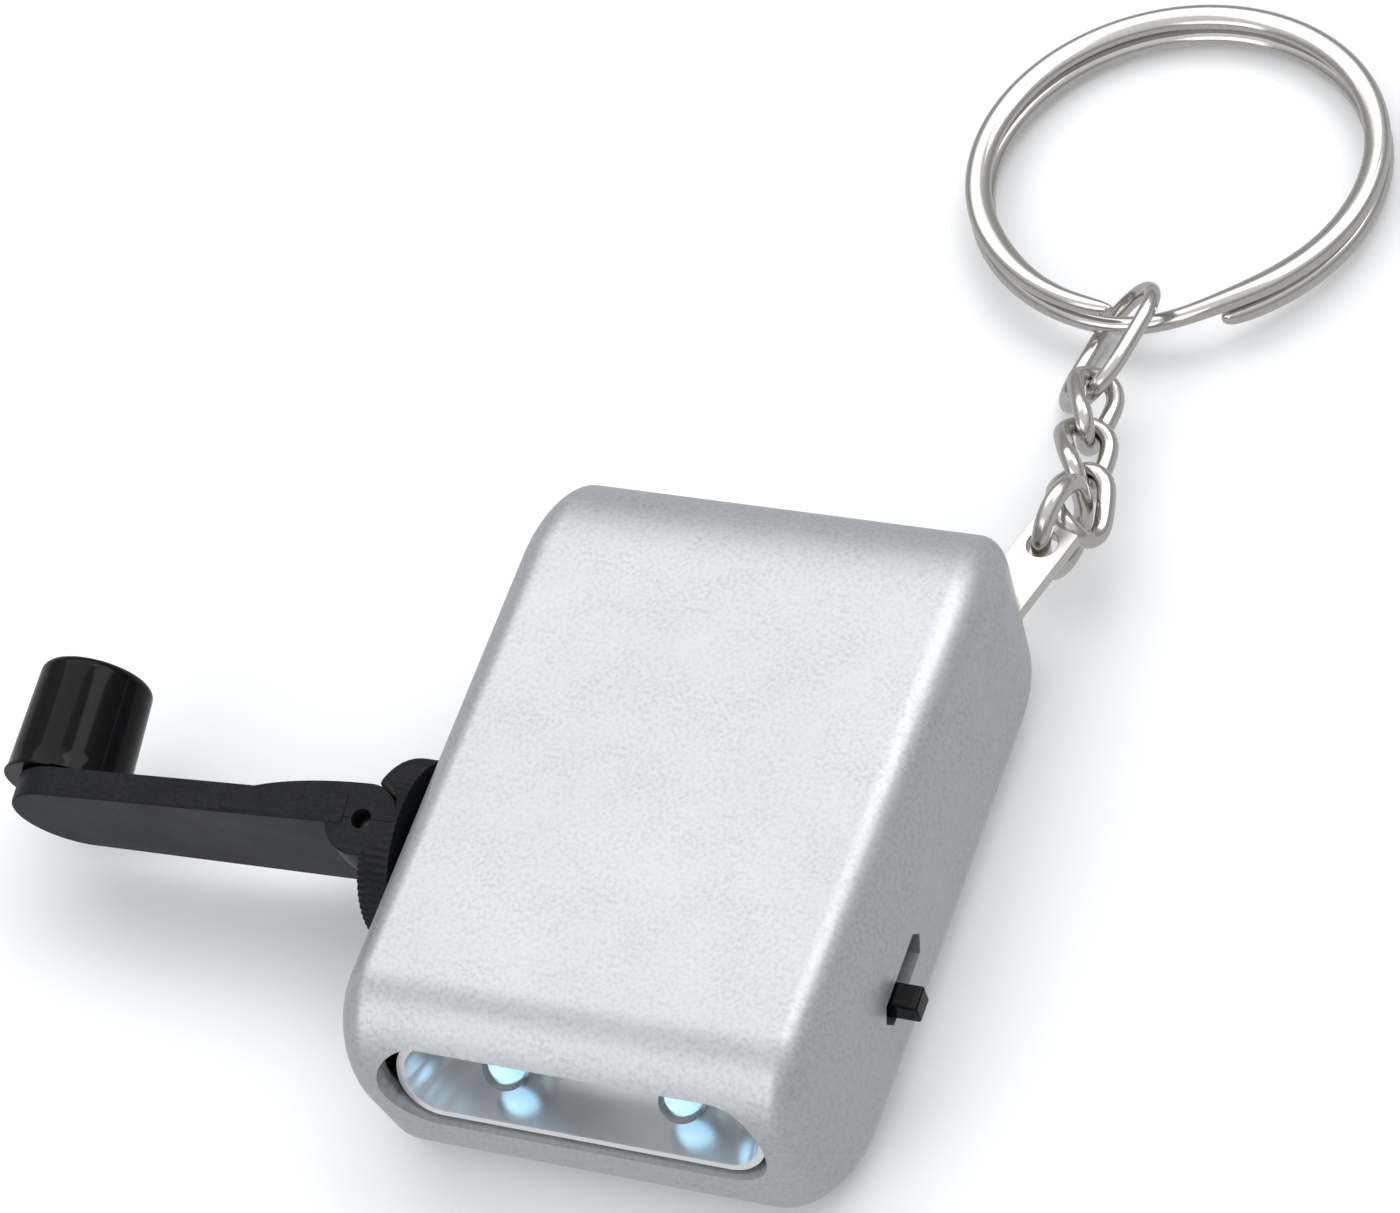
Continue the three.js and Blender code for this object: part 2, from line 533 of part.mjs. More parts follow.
const driveGear = addSolid(object, 'drive_gear', wheel(0, shaftBore), whiteNylon);
driveGear.position.set(0, trainSize.crankY, trainSize.axisZ);
for (const n of [1, 2]) {
  const compound = wheel(n, arborBore).add(pinion(n - 1, arborBore, planeX(n) + gearSize.wheelWidth / 2));
  const mesh = addSolid(object, `compound_gear_${n}`, compound, whiteNylon);
  mesh.position.set(0, trainSize.crankY + n * centreDistance, trainSize.axisZ);
}

// The frame: two plates that hold the shafts, with pillars between them
const trainYs = [0, 1, 2, 3].map((n) => trainSize.crankY + n * centreDistance);
const rotorY = trainYs[3];
const plateShape = roundedRectangle(frameSize.frontY, frameSize.baseZ, frameSize.backY, frameSize.topZ,
  frameSize.cornerRadius);
const pillarInset = frameSize.pillarRadius + fitGap;
const pillarPlaces = [
  [frameSize.frontY + pillarInset, frameSize.topZ - pillarInset],
  [frameSize.backY - pillarInset, frameSize.topZ - pillarInset],
];
const plateLeft = frameSize.leftX;
const plateRight = frameRightX - frameSize.plate;
const boreFor = (n) => (n === 0 ? crankSize.shaftRadius + fitGap : arborBore);
const drilled = (plate) => trainYs.reduce((rest, y, n) =>
  rest.subtract(cylinder('x', [y, trainSize.axisZ], -farX, farX, boreFor(n))), plate);
let gearFrame = extrudeX(plateShape, plateLeft, plateLeft + frameSize.plate);
for (const at of pillarPlaces) {
  gearFrame = gearFrame.add(cylinder('x', at, plateLeft, plateRight, frameSize.pillarRadius));
}
gearFrame = drilled(gearFrame).intersect(slack);
let frameCover = drilled(extrudeX(plateShape, plateRight, frameRightX)).intersect(slack);
const frameScrewRadius = 0.4;
const frameScrewHead = 0.9;
const frameScrewDepth = 3.0;
pillarPlaces.forEach((at, i) => {
  const hole = cylinder('x', at, plateRight - frameScrewDepth - fitGap, farX, frameScrewRadius + fitGap);
  gearFrame = gearFrame.subtract(hole);
  frameCover = frameCover.subtract(hole);
  const screw = cylinder('x', at, plateRight - frameScrewDepth, frameRightX + fitGap, frameScrewRadius)
    .add(cylinder('x', at, frameRightX + fitGap, frameRightX + fitGap + frameScrewHead / 2, frameScrewHead));
  addSolid(object, `frame_screw_${i + 1}`, screw, steel);
});
addSolid(object, 'gear_frame', gearFrame, blackPlastic);
addSolid(object, 'gear_frame_cover', frameCover, blackPlastic);
for (const n of [1, 2]) {
  addSolid(object, `arbor_${n}`, cylinder('x', [trainYs[n], trainSize.axisZ], plateLeft, frameRightX,
    trainSize.arborRadius), steel);
}

// The generator: a magnet turning in a laminated core, with the coil on the core's yoke
const g = generatorSize;
const rotorAt = [rotorY, trainSize.axisZ];
const magnetX = frameRightX + g.frameGap;
const rotorEndX = magnetX + g.magnetLength + runningGap;
const rotorShaft = pinion(2, trainSize.arborRadius / 2, planeX(2) + gearSize.wheelWidth)
  .translate(0, rotorY, trainSize.axisZ)
  .add(cylinder('x', rotorAt, plateLeft, rotorEndX, trainSize.arborRadius));
addSolid(object, 'rotor_shaft', rotorShaft, steel);
const magnet = cylinder(
  'x', rotorAt, magnetX, magnetX + g.magnetLength, g.magnetRadius, g.magnetRadius, roundSides)
  .subtract(cylinder('x', rotorAt, magnetX - overrun, magnetX + g.magnetLength + overrun, arborBore));
addSolid(object, 'rotor_magnet', magnet, darkMagnet);

const coreX = magnetX + (g.magnetLength - g.coreThickness) / 2;
const poleRadius = g.magnetRadius + g.airGap;
const coreRadius = poleRadius + g.coreRing;
const coreEndX = coreX + g.coreThickness;
const legOuter = coreRadius;
const legInner = legOuter - g.legHeight;
const legBar = (side) => box(
  [coreX, g.yokeY, trainSize.axisZ + (side > 0 ? legInner : -legOuter)],
  [coreEndX, rotorY, trainSize.axisZ + (side > 0 ? legOuter : -legInner)]);
const yoke = box([coreX, g.yokeY, trainSize.axisZ - legOuter],
  [coreEndX, g.yokeY + g.yokeWidth, trainSize.axisZ + legOuter]);
const core = cylinder('x', rotorAt, coreX, coreEndX, coreRadius, coreRadius, roundSides)
  .add(legBar(1)).add(legBar(-1)).add(yoke)
  .subtract(cylinder('x', rotorAt, coreX - overrun, coreEndX + overrun, poleRadius, poleRadius, roundSides))
  .subtract(box([coreX - overrun, rotorY - coreRadius - overrun, trainSize.axisZ - g.poleSlit / 2],
    [coreEndX + overrun, rotorY + coreRadius + overrun, trainSize.axisZ + g.poleSlit / 2])
    .subtract(box([coreX - overrun * 2, g.yokeY - overrun, -overrun],
      [coreEndX + overrun * 2, g.yokeY + g.yokeWidth + overrun, caseSize.height])));
addSolid(object, 'stator_core', core, steel);

const windowLow = trainSize.axisZ - legInner + fitGap;
const windowHigh = trainSize.axisZ + legInner - fitGap;
const aroundYoke = (grow, low, high) => box(
  [coreX - grow, g.yokeY - grow, low], [coreEndX + grow, g.yokeY + g.yokeWidth + grow, high]);
const yokeHole = aroundYoke(fitGap, 0, caseSize.height);
const bobbinGrow = fitGap + g.bobbinWall;
const flangeGrow = bobbinGrow + g.coilDepth;
const bobbin = aroundYoke(bobbinGrow, windowLow, windowHigh)
  .add(aroundYoke(flangeGrow, windowLow, windowLow + g.bobbinFlange))
  .add(aroundYoke(flangeGrow, windowHigh - g.bobbinFlange, windowHigh))
  .subtract(yokeHole);
addSolid(object, 'coil_bobbin', bobbin, whiteNylon);
const coilLow = windowLow + g.bobbinFlange + fitGap;
const coilHigh = windowHigh - g.bobbinFlange - fitGap;
const coil = aroundYoke(flangeGrow - fitGap, coilLow, coilHigh)
  .subtract(aroundYoke(bobbinGrow + fitGap, coilLow - overrun, coilHigh + overrun));
addSolid(object, 'generator_coil', coil, copper);

// The circuit board with its parts, the slide switch and the storage cell
const boardTop = boardZ + boardSize.thickness;
addSolid(object, 'circuit_board', box([boardPlace.leftX, boardPlace.frontY, boardZ],
  [boardPlace.rightX, boardPlace.backY, boardTop]).intersect(slack), greenLaminate);
for (const n of [0, 1, 2, 3]) {
  const x = boardPlace.leftX + boardPlace.diodeWidth / 2 + n * boardPlace.diodePitch;
  const y = boardPlace.frontY + boardPlace.diodeWidth;
  addSolid(object, `rectifier_diode_${n + 1}`, box([x, y, boardTop],
    [x + boardPlace.diodeWidth, y + boardSize.diodeLength, boardTop + boardSize.diodeHeight]), blackPlastic);
}
addSolid(object, 'smoothing_capacitor', cylinder('z',
  [boardPlace.leftX + boardSize.capacitorRadius * 2, boardPlace.backY - boardSize.capacitorRadius * 1.5],
  boardTop, boardTop + boardSize.capacitorHeight, boardSize.capacitorRadius), blackPlastic);
const switchBackX = boardPlace.rightX - fitGap;
const switchFrontX = switchBackX - switchPlace.bodyWidth;
const bodyFrom = notchMiddleY - switchSize.bodyLength / 2;
const bodyTo = notchMiddleY + switchSize.bodyLength / 2;
const sliderSlot = box(
  [switchFrontX + switchSize.bodyWall, bodyFrom + switchSize.bodyWall, notchLow],
  [farX, bodyTo - switchSize.bodyWall, notchHigh]);
addSolid(object, 'switch_body', box([switchFrontX, bodyFrom, boardTop],
  [switchBackX, bodyTo, boardTop + switchSize.bodyHeight]).subtract(sliderSlot), steel);
const knobFrom = switchPlace.centreY - switchSize.knobWidth / 2;
const sliderFootX = switchFrontX + switchSize.bodyWall + runningGap;
addSolid(object, 'switch_slider', box([sliderFootX, knobFrom, knobZ],
  [caseSize.width / 2 + switchSize.reach, knobFrom + switchSize.knobWidth,
    knobZ + switchSize.knobHeight]), blackPlastic);
// The cell stands on the flat of the floor, up against where the floor begins to roll
const c = cellSize;
const flatFloorX = innerWallX - Math.max(caseSize.floorSideRoll - caseSize.wall, caseSize.leastInnerRound);
const cellX = flatFloorX - c.radius + c.edge;
const cellProfile = [[0, 0], [c.radius - c.edge, 0], [c.radius, c.edge], [c.radius, c.height - c.edge],
  [c.radius - c.edge, c.height], [0, c.height]];
addSolid(object, 'storage_cell', solid(turned(cellProfile).rotateX(Math.PI / 2)
  .translate(cellX, c.y, floorZ)), steel);

// The crank: a hub outside the left wall with its shaft, the folding arm, the hinge pin and the knob
const hubGroup = new THREE.Group();
hubGroup.position.set(0, trainSize.crankY, trainSize.axisZ);
hubGroup.rotation.x = toRadians(crankSize.restTurn);
object.add(hubGroup);
const hubInnerX = -caseSize.width / 2 - crankSize.wallGap;
const hubOuterX = hubInnerX - crankSize.hubThickness;
const pinX = -caseSize.width / 2 - hingeSize.outset;
const serrated = new THREE.Shape();
for (let i = 0; i < crankSize.serrations; i++) {
  const valley = crankSize.hubRadius - crankSize.serrationDepth;
  for (const [share, radius] of [[0, crankSize.hubRadius], [0.5, valley]]) {
    const a = ((i + share) * 2 * Math.PI) / crankSize.serrations;
    const point = [radius * Math.cos(a), radius * Math.sin(a)];
    if (i === 0 && share === 0) serrated.moveTo(...point);
    else serrated.lineTo(...point);
  }
}
const domeProfile = () => {
  const points = [[0, 0], [crankSize.hubRadius + fitGap, 0],
    [crankSize.hubRadius + fitGap, crankSize.hubThickness - crankSize.domeDepth]];
  const steps = 4;
  for (let i = 1; i <= steps; i++) {
    const a = ((i / steps) * Math.PI) / 2;
    points.push([
      crankSize.domeRadius + (crankSize.hubRadius + fitGap - crankSize.domeRadius) * Math.cos(a),
      crankSize.hubThickness - crankSize.domeDepth + crankSize.domeDepth * Math.sin(a)]);
  }
  points.push([0, crankSize.hubThickness]);
  return points;
};
const dome = solid(turned(domeProfile(), roundSides).rotateZ(Math.PI / 2).translate(hubInnerX, 0, 0));
const hubDisc = extrudeX(serrated, hubOuterX, hubInnerX).intersect(dome);
const seatX = hubOuterX + crankSize.seatDepth;
const reachPast = crankSize.hubRadius + overrun;
const seatCut = box([hubOuterX - overrun, -reachPast, -reachPast], [seatX, 0, reachPast]);
const pocketRadius = hingeSize.knuckleRadius + runningGap;
const earGapZ = hingeSize.lugHalfHeight + runningGap / 2;
const pocket = (side) => cylinder('z', [pinX, 0], side > 0 ? earGapZ - runningGap / 2 : -reachPast,
  side > 0 ? reachPast : -earGapZ + runningGap / 2, pocketRadius, pocketRadius, roundSides);
const lug = cylinder('z', [pinX, 0], -hingeSize.lugHalfHeight, hingeSize.lugHalfHeight, hingeSize.lugRadius,
  hingeSize.lugRadius, roundSides)
  .add(box([pinX, -hingeSize.lugRadius, -hingeSize.lugHalfHeight],
    [hubInnerX, hingeSize.lugRadius, hingeSize.lugHalfHeight]));
const pinHole = (grow) => cylinder('z', [pinX, 0], -reachPast, reachPast, hingeSize.pinRadius + grow);
const shaftEndX = frameRightX + runningGap * 4;
const journal = cylinder('x', [0, 0], hubInnerX, plateLeft - fitGap, crankSize.journalRadius,
  crankSize.journalRadius, roundSides);
const hub = hubDisc.subtract(seatCut).subtract(pocket(1)).subtract(pocket(-1))
  .add(lug)
  .subtract(pinHole(fitGap))
  .add(journal)
  .add(cylinder('x', [0, 0], hubInnerX, shaftEndX, crankSize.shaftRadius));
addSolid(hubGroup, 'crank_hub', hub, blackPlastic);
const clipSize = { thickness: 0.5, radius: 2.0 };
const clipX = frameRightX + fitGap;
const clip = cylinder('x', [0, 0], clipX, clipX + clipSize.thickness, clipSize.radius)
  .subtract(cylinder('x', [0, 0], 0 - farX, farX, crankSize.shaftRadius + fitGap))
  .subtract(box([-farX, 0, -crankSize.shaftRadius / 2],
    [farX, clipSize.radius + overrun, crankSize.shaftRadius / 2]));
addSolid(hubGroup, 'shaft_clip', clip, steel);

const armGroup = new THREE.Group();
armGroup.position.set(pinX, 0, 0);
armGroup.rotation.z = toRadians(crankSize.restFold);
hubGroup.add(armGroup);
// In the arm's group the arm runs along -X from the hinge pin, and +Y is the knob's side
const armBack = -armSize.backOffset;
const armFront = armBack + armSize.thickness;
const armOutline = new THREE.Shape();
armOutline.moveTo(0, -armSize.hingeHalfWidth);
armOutline.lineTo(0, armSize.hingeHalfWidth);
armOutline.lineTo(-armSize.length + armSize.tipLength, armSize.tipHalfWidth);
armOutline.absellipse(-armSize.length + armSize.tipLength, 0, armSize.tipLength, armSize.tipHalfWidth,
  Math.PI / 2, Math.PI * 1.5);
const armPlate = extrudeY(armOutline, armBack, armFront, 10);
const humpEnd = armSize.humpLength;
const humpShape = new THREE.Shape();
humpShape.absarc(0, 0, hingeSize.knuckleRadius, -Math.PI / 2, Math.PI / 2);
humpShape.bezierCurveTo(-humpEnd / 3, hingeSize.knuckleRadius, -humpEnd / 1.6, hingeSize.knuckleRadius,
  -humpEnd, armFront - fitGap);
humpShape.lineTo(-humpEnd, armBack + fitGap);
humpShape.lineTo(-hingeSize.knuckleRadius, armBack + fitGap);
humpShape.absarc(0, 0, hingeSize.knuckleRadius, Math.PI * 1.05, Math.PI * 1.5);
const hump = solid(new THREE.ExtrudeGeometry(humpShape,
  { depth: armSize.knuckleHalfHeight * 2, bevelEnabled: false, curveSegments: 8 })
  .translate(0, 0, -armSize.knuckleHalfHeight));
const lugSlotRadius = hingeSize.lugRadius + runningGap;
const lugSlot = cylinder('z', [0, 0], -earGapZ, earGapZ, lugSlotRadius, lugSlotRadius, roundSides)
  .add(box([-lugSlotRadius, -reachPast, -earGapZ], [reachPast, reachPast, earGapZ]));
const trimPlate = box(
  [-hingeSize.knuckleRadius / 2, -reachPast, -reachPast], [reachPast, reachPast, reachPast]);
const stubFrom = armFront - fitGap;
const stubTip = armFront + knobSize.stubLength;
const knobReach = armSize.length - knobSize.fromTip;
const knobAt = [-knobReach, 0];
const stub = cylinder('y', knobAt, stubFrom, stubTip, knobSize.stubRadius)
  .add(cylinder('y', knobAt, stubTip - knobSize.headLength, stubTip,
    knobSize.headRadius, knobSize.stubRadius));
const arm = armPlate.subtract(trimPlate).add(hump).subtract(lugSlot)
  .subtract(cylinder('z', [0, 0], -reachPast, reachPast, hingeSize.pinRadius + fitGap))
  .add(stub);
addSolid(armGroup, 'crank_arm', arm, blackPlastic);
const pinHalf = armSize.knuckleHalfHeight - armSize.pinRecess;
addSolid(armGroup, 'hinge_pin', cylinder('z', [0, 0], -pinHalf, pinHalf, hingeSize.pinRadius), steel);

// The knob is a cup that turns on the stub and snaps over its head
const k = knobSize;
const knobFoot = armFront + fitGap;
const headBore = k.headRadius + runningGap;
const stubBore = k.stubRadius + fitGap;
const headFrom = k.stubLength - k.headLength - fitGap * 2;
const boreEnd = k.length - k.endWall;
const knobProfile = [
  [stubBore, 0], [k.baseRadius - k.edgeRound / 2, 0], [k.baseRadius, k.edgeRound / 2],
  [k.endRadius, k.length - k.edgeRound], [k.endRadius - k.edgeRound / 4, k.length - k.edgeRound / 4],
  [k.endRadius - k.edgeRound, k.length], [0, k.length], [0, boreEnd], [headBore, boreEnd],
  [headBore, headFrom], [stubBore, headFrom], [stubBore, 0],
];
addSolid(armGroup, 'crank_knob', solid(turned(knobProfile)
  .translate(-knobReach, knobFoot, 0)), blackPlastic);

// A closed oval of round wire, twisted along its length like a curb chain's link
class OvalCurve extends THREE.Curve {
  constructor(link) {
    super();
    this.half = (link.length - link.wire) / 2;
    this.bend = (link.width - link.wire) / 2;
    this.twist = toRadians(link.twist);
  }

  getPoint(t, target = new THREE.Vector3()) {
    const straight = this.half - this.bend;
    const arc = Math.PI * this.bend;
    const along = t * (2 * arc + 4 * straight);
    let u;
    let v;
    if (along < arc) {
      const a = along / this.bend - Math.PI / 2;
      [u, v] = [straight + this.bend * Math.cos(a), this.bend * Math.sin(a)];
    } else if (along < arc + 2 * straight) {
      [u, v] = [straight - (along - arc), this.bend];
    } else if (along < 2 * arc + 2 * straight) {
      const a = (along - arc - 2 * straight) / this.bend + Math.PI / 2;
      [u, v] = [-straight + this.bend * Math.cos(a), this.bend * Math.sin(a)];
    } else {
      [u, v] = [-straight + (along - 2 * arc - 2 * straight), -this.bend];
    }
    const turn = (this.twist * u) / this.half;
    return target.set(u, v * Math.cos(turn), v * Math.sin(turn));
  }
}
const linkSteps = 28;
const wireSides = 8;
const placeLink = (name, link, centre, axes) => {
  const tube = new THREE.TubeGeometry(new OvalCurve(link), linkSteps, link.wire / 2, wireSides, true);
  const mesh = addSolid(object, name, solid(tube), nickel);
  mesh.setRotationFromMatrix(new THREE.Matrix4().makeBasis(axes.long, axes.wide, axes.third));
  mesh.position.copy(centre);
};
const linkAxes = ({ yaw, dip, roll }) => {
  const [turn, drop, spin] = [yaw, dip, roll].map(toRadians);
  const long = new THREE.Vector3(
    Math.sin(turn) * Math.cos(drop), Math.cos(turn) * Math.cos(drop), -Math.sin(drop));
  const side = new THREE.Vector3().crossVectors(long, new THREE.Vector3(0, 0, 1)).normalize();
  const wide = side.clone().multiplyScalar(Math.cos(spin))
    .addScaledVector(new THREE.Vector3().crossVectors(side, long), Math.sin(spin));
  return { long, wide, third: new THREE.Vector3().crossVectors(long, wide) };
};
const halfLength = (link) => (link.length - link.wire) / 2;
const bendRadius = (link) => (link.width - link.wire) / 2;
const bigAxes = linkAxes(bigLink);
const ringAt = new THREE.Vector2(tabHole.x + ringSize.besideHole, tabHole.y + ringSize.beyondHole);
const bigCentre = new THREE.Vector3(ringAt.x + bigLink.aside,
  ringAt.y - (ringSize.outerDiameter - ringSize.wire) / 2 + bigLink.insideRing, bigLink.z);
placeLink('big_link', bigLink, bigCentre, bigAxes);
const hook = toRadians(bigLink.hookTurn);
const hookWay = bigAxes.long.clone().multiplyScalar(-Math.cos(hook))
  .addScaledVector(bigAxes.wide, Math.sin(hook));
// Where the next link hangs in the last one, and which way it is pushed off the last one's wire
let hanging = {
  link: bigLink,
  end: bigCentre.clone().addScaledVector(bigAxes.long, bendRadius(bigLink) - halfLength(bigLink))
    .addScaledVector(hookWay, bendRadius(bigLink)),
  inward: hookWay.clone().negate(),
};
const curbLinks = [['chain_link_3', thirdLink], ['chain_link_2', secondLink], ['chain_link_1', firstLink]];
for (const [name, link] of curbLinks) {
  const axes = linkAxes(link);
  const inward = hanging.link === bigLink ? hanging.inward : hanging.long.clone().add(axes.long).normalize();
  const bow = hanging.end.clone().addScaledVector(inward, (hanging.link.wire + link.wire) / 2 + linkGap);
  const centre = bow.clone().addScaledVector(axes.long, -halfLength(link));
  placeLink(name, link, centre, axes);
  hanging = { link, long: axes.long, end: centre.clone().addScaledVector(axes.long, -halfLength(link)) };
}
placeLink('jump_link', jumpLink, new THREE.Vector3(
  tabHole.x + jumpLink.aside, tabHole.y + jumpLink.beyondHole, caseSize.partingZ - jumpLink.belowTab),
linkAxes(jumpLink));

// The split ring: one wire wound twice, with a step where it climbs from one layer to the other
const ringTurns = 2;
const ringSteps = 24;
const ringSides = 6;
const ringMiddle = (ringSize.outerDiameter - ringSize.wire) / 2;
const stepTurn = toRadians(ringSize.stepTurn);
const ringSweep = ringTurns * 2 * Math.PI - stepTurn - toRadians(ringSize.endGap);
const ringPoint = (share) => {
  const angle = share * ringSweep;
  const climb = THREE.MathUtils.smoothstep(angle, 2 * Math.PI - stepTurn, 2 * Math.PI);
  const at = toRadians(ringSize.endTurn) + angle;
  return new THREE.Vector3(
    ringMiddle * Math.cos(at), ringMiddle * Math.sin(at), ringSize.wire / 2 + climb * ringSize.layerPitch);
};
const ringRings = [];
const ringMiddles = [];
const ringCount = ringTurns * ringSteps;
for (let i = 0; i <= ringCount; i++) {
  const here = ringPoint(i / ringCount);
  ringMiddles.push(here);
  const outward = new THREE.Vector3(here.x, here.y, 0).normalize();
  const section = [];
  for (let j = 0; j < ringSides; j++) {
    const a = ((j + 0.5) * 2 * Math.PI) / ringSides;
    section.push(here.clone().addScaledVector(outward, (-Math.cos(a) * ringSize.wire) / 2)
      .add(new THREE.Vector3(0, 0, (Math.sin(a) * ringSize.wire) / 2)));
  }
  ringRings.push(section);
}
let leastGap = ringSize.outerDiameter;
for (let i = 0; i < ringMiddles.length; i++) {
  for (let j = i + ringSteps / 2; j < ringMiddles.length; j++) {
    leastGap = Math.min(leastGap, ringMiddles[i].distanceTo(ringMiddles[j]) - ringSize.wire);
  }
}
console.log(`split ring, least gap to itself: ${leastGap.toFixed(3)} mm`);
// The ring leans on its far edge, because the big link's wire lies under its near side
const ring = addSolid(object, 'split_ring', solid(loft(ringRings)), nickel);
const ringEdge = ringSize.outerDiameter / 2;
const lean = toRadians(ringSize.tilt);
ring.rotation.x = -lean;
ring.position.set(ringAt.x, ringAt.y + ringEdge * (1 - Math.cos(lean)), ringEdge * Math.sin(lean));

export default object;
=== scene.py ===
"""Wind-up keychain light: a silver two-part case, a folding crank, a chrome reflector with two lamps,
a slide switch, and a short nickel chain with a split ring. Millimetres are turned to metres by MM."""

import json
import math

import bmesh
import bpy
from bpy.props import FloatProperty, FloatVectorProperty, IntProperty, PointerProperty
from mathutils import Euler, Matrix, Vector


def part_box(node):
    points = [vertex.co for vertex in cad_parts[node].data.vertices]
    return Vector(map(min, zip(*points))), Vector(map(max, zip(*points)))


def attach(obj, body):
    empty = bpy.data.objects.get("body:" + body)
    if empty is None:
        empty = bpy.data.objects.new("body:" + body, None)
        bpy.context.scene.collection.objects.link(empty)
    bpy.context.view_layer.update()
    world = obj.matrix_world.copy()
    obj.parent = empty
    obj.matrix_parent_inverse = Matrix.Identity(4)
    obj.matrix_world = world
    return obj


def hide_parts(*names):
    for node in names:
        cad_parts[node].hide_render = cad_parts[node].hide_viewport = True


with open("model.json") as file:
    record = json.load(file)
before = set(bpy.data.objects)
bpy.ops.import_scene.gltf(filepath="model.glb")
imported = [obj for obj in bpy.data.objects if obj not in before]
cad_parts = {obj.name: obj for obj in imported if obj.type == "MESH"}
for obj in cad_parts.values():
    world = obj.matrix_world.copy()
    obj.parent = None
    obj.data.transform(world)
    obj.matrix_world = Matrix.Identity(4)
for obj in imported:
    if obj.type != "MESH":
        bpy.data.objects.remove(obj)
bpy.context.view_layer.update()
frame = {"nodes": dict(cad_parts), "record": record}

bl_info = {
    "name": "Wind-up keychain light",
    "version": (1, 0, 0),
    "blender": (4, 5, 0),
    "location": "View3D > Sidebar > Keychain light",
    "description": "Builds the looks of a wind-up keychain light around its packed frame",
    "category": "Object",
}

MM = 0.001
# Points closer than this are one point, in a new piece and in a node's copy
SAME_POINT = 1e-6
NODE_SAME_POINT = 2e-6
# A face whose normal has this share along an axis faces along it
FACING = 0.9

# Steps of the rounded corners: of the case and its hollow, of the dish, of the hub's and the knob's rims
CASE_STEPS = 14
HOLLOW_STEPS = 8
DISH_STEPS = 14
RIM_STEPS = 8

# The case: its openings and screw bosses
LEAST_ROLL = 0.8 * MM
MOUTH_DEPTH = 3.5 * MM
BORE_RADIUS = 3.3 * MM
BORE_DEPTH = 3 * MM
SLOT_GAP = 0.3 * MM
SLOT_DEPTH = 3.5 * MM
SLOT_TRAVEL = 3 * MM
SLOT_POINT = 0.7 * MM
TAB_SLOT_SHARES = (1.06, 1.06, 1.9)
BOSS_FOOT = 1.3 * MM
BOSS_RADIUS = 1.7 * MM
RECESS_RADIUS = 1.4 * MM
RECESS_DEPTH = 2.1 * MM
SCREW_HOLE_RADIUS = 0.65 * MM
SCREWS = ("shell_screw_front_left", "shell_screw_front_right", "shell_screw_tab", "shell_screw_back")
TAB_EDGE = 0.12 * MM

# A lamp: its flange, its cup as radius and distance behind the dome's middle in millimetres, its lit drop
FLANGE_GAP = 0.4 * MM
FLANGE_THICKNESS = 0.9 * MM
CUP_PROFILE = ((0.30, 1.0), (0.42, 1.0), (0.85, 0.35), (1.0, 0.35), (1.0, 1.3), (0.3, 1.4))
LEAD_RADIUS = 0.3 * MM
DROP_BEHIND = 0.25 * MM

# The crank and the switch
STUD_RADIUS = 1.5 * MM
STUD_LENGTH = 6.6 * MM
KNOB_BORE_RADIUS = 2.3 * MM
KNOB_ROOF = 1.1 * MM
PIN_SUNK = 0.9 * MM
BUTTON_EDGE = 0.18 * MM

# The frame's wires: radius in millimetres and number of sides
LINK_RADII = {
    "jump_link": 0.625, "chain_link_1": 0.6, "chain_link_2": 0.6, "chain_link_3": 0.6, "big_link": 0.575}
LINK_SIDES = 8
RING_RADIUS = 0.65
RING_SIDES = 6

# Depth of the grain that all finishes share
GRAIN_DEPTH = 0.02 * MM

# Softboxes: name, place and aim in metres, width, height, power in watts
SOFTBOXES = (
    ("overhead softbox", (-0.20, 0.30, 0.50), (0, 0, 0), 0.62, 0.5, 1.15),
    ("key softbox", (0.24, 0.33, 0.56), (0, 0.01, 0.01), 0.4, 0.4, 1.2),
    ("front softbox", (-0.16, -0.50, 0.30), (0, 0, 0), 0.5, 0.5, 1.2),
)
# The studio's light: its colour below and overhead, and greys at heights between, from 0 level to 1 overhead
STUDIO_LOW = (0.60, 0.61, 0.62)
STUDIO_HIGH = (0.95, 0.96, 0.98)
STUDIO_GREYS = ((0.12, 0.34), (0.45, 0.50), (0.7, 0.85))
STUDIO_TINT = (1, 1.01, 1.03)


# Settings


def size(name, description, millimetres):
    return FloatProperty(
        name=name, description=description, default=millimetres * MM, unit="LENGTH", precision=5)


def turn(name, description, degrees):
    return FloatProperty(name=name, description=description, default=math.radians(degrees), subtype="ANGLE")


def colour(name, description, value):
    return FloatVectorProperty(
        name=name, description=description, default=value, subtype="COLOR", min=0, max=1)


class CaseSettings(bpy.types.PropertyGroup):
    width: size("Width", "Width of the case, from the crank side to the switch side", 34)
    length: size("Length", "Length of the case, from the light opening to the key tab", 46)
    height: size("Height", "Height of the case", 15.6)
    wall: size("Wall", "Thickness of the shells", 1.5)
    parting: size("Parting height", "Where the two shells meet", 7.4)
    top_side_roll: size("Top side roll", "Rounding of the top along the long sides", 3.2)
    back_roll: size("Back roll", "Depth of the rounding at the key tab's end", 7.4)
    back_drop: size("Back drop", "Height of the rounding at the key tab's end", 4.2)
    front_roll: size("Front roll", "Depth of the rounding above the light opening", 5.5)
    front_drop: size("Front drop", "Height of the rounding above the light opening", 7.3)
    floor_side_roll: size("Floor side roll", "Rounding of the floor along the long sides", 4.6)
    floor_front_roll: size("Floor front roll", "Depth of the rounding below the light opening", 7.2)
    floor_rise: size("Floor rise", "Height of the floor's rounding", 3.7)
    seam: size("Seam", "Bevel along the line where the shells meet", 0.14)
    paint: colour("Paint", "Colour of the silver paint", (0.50, 0.515, 0.53))


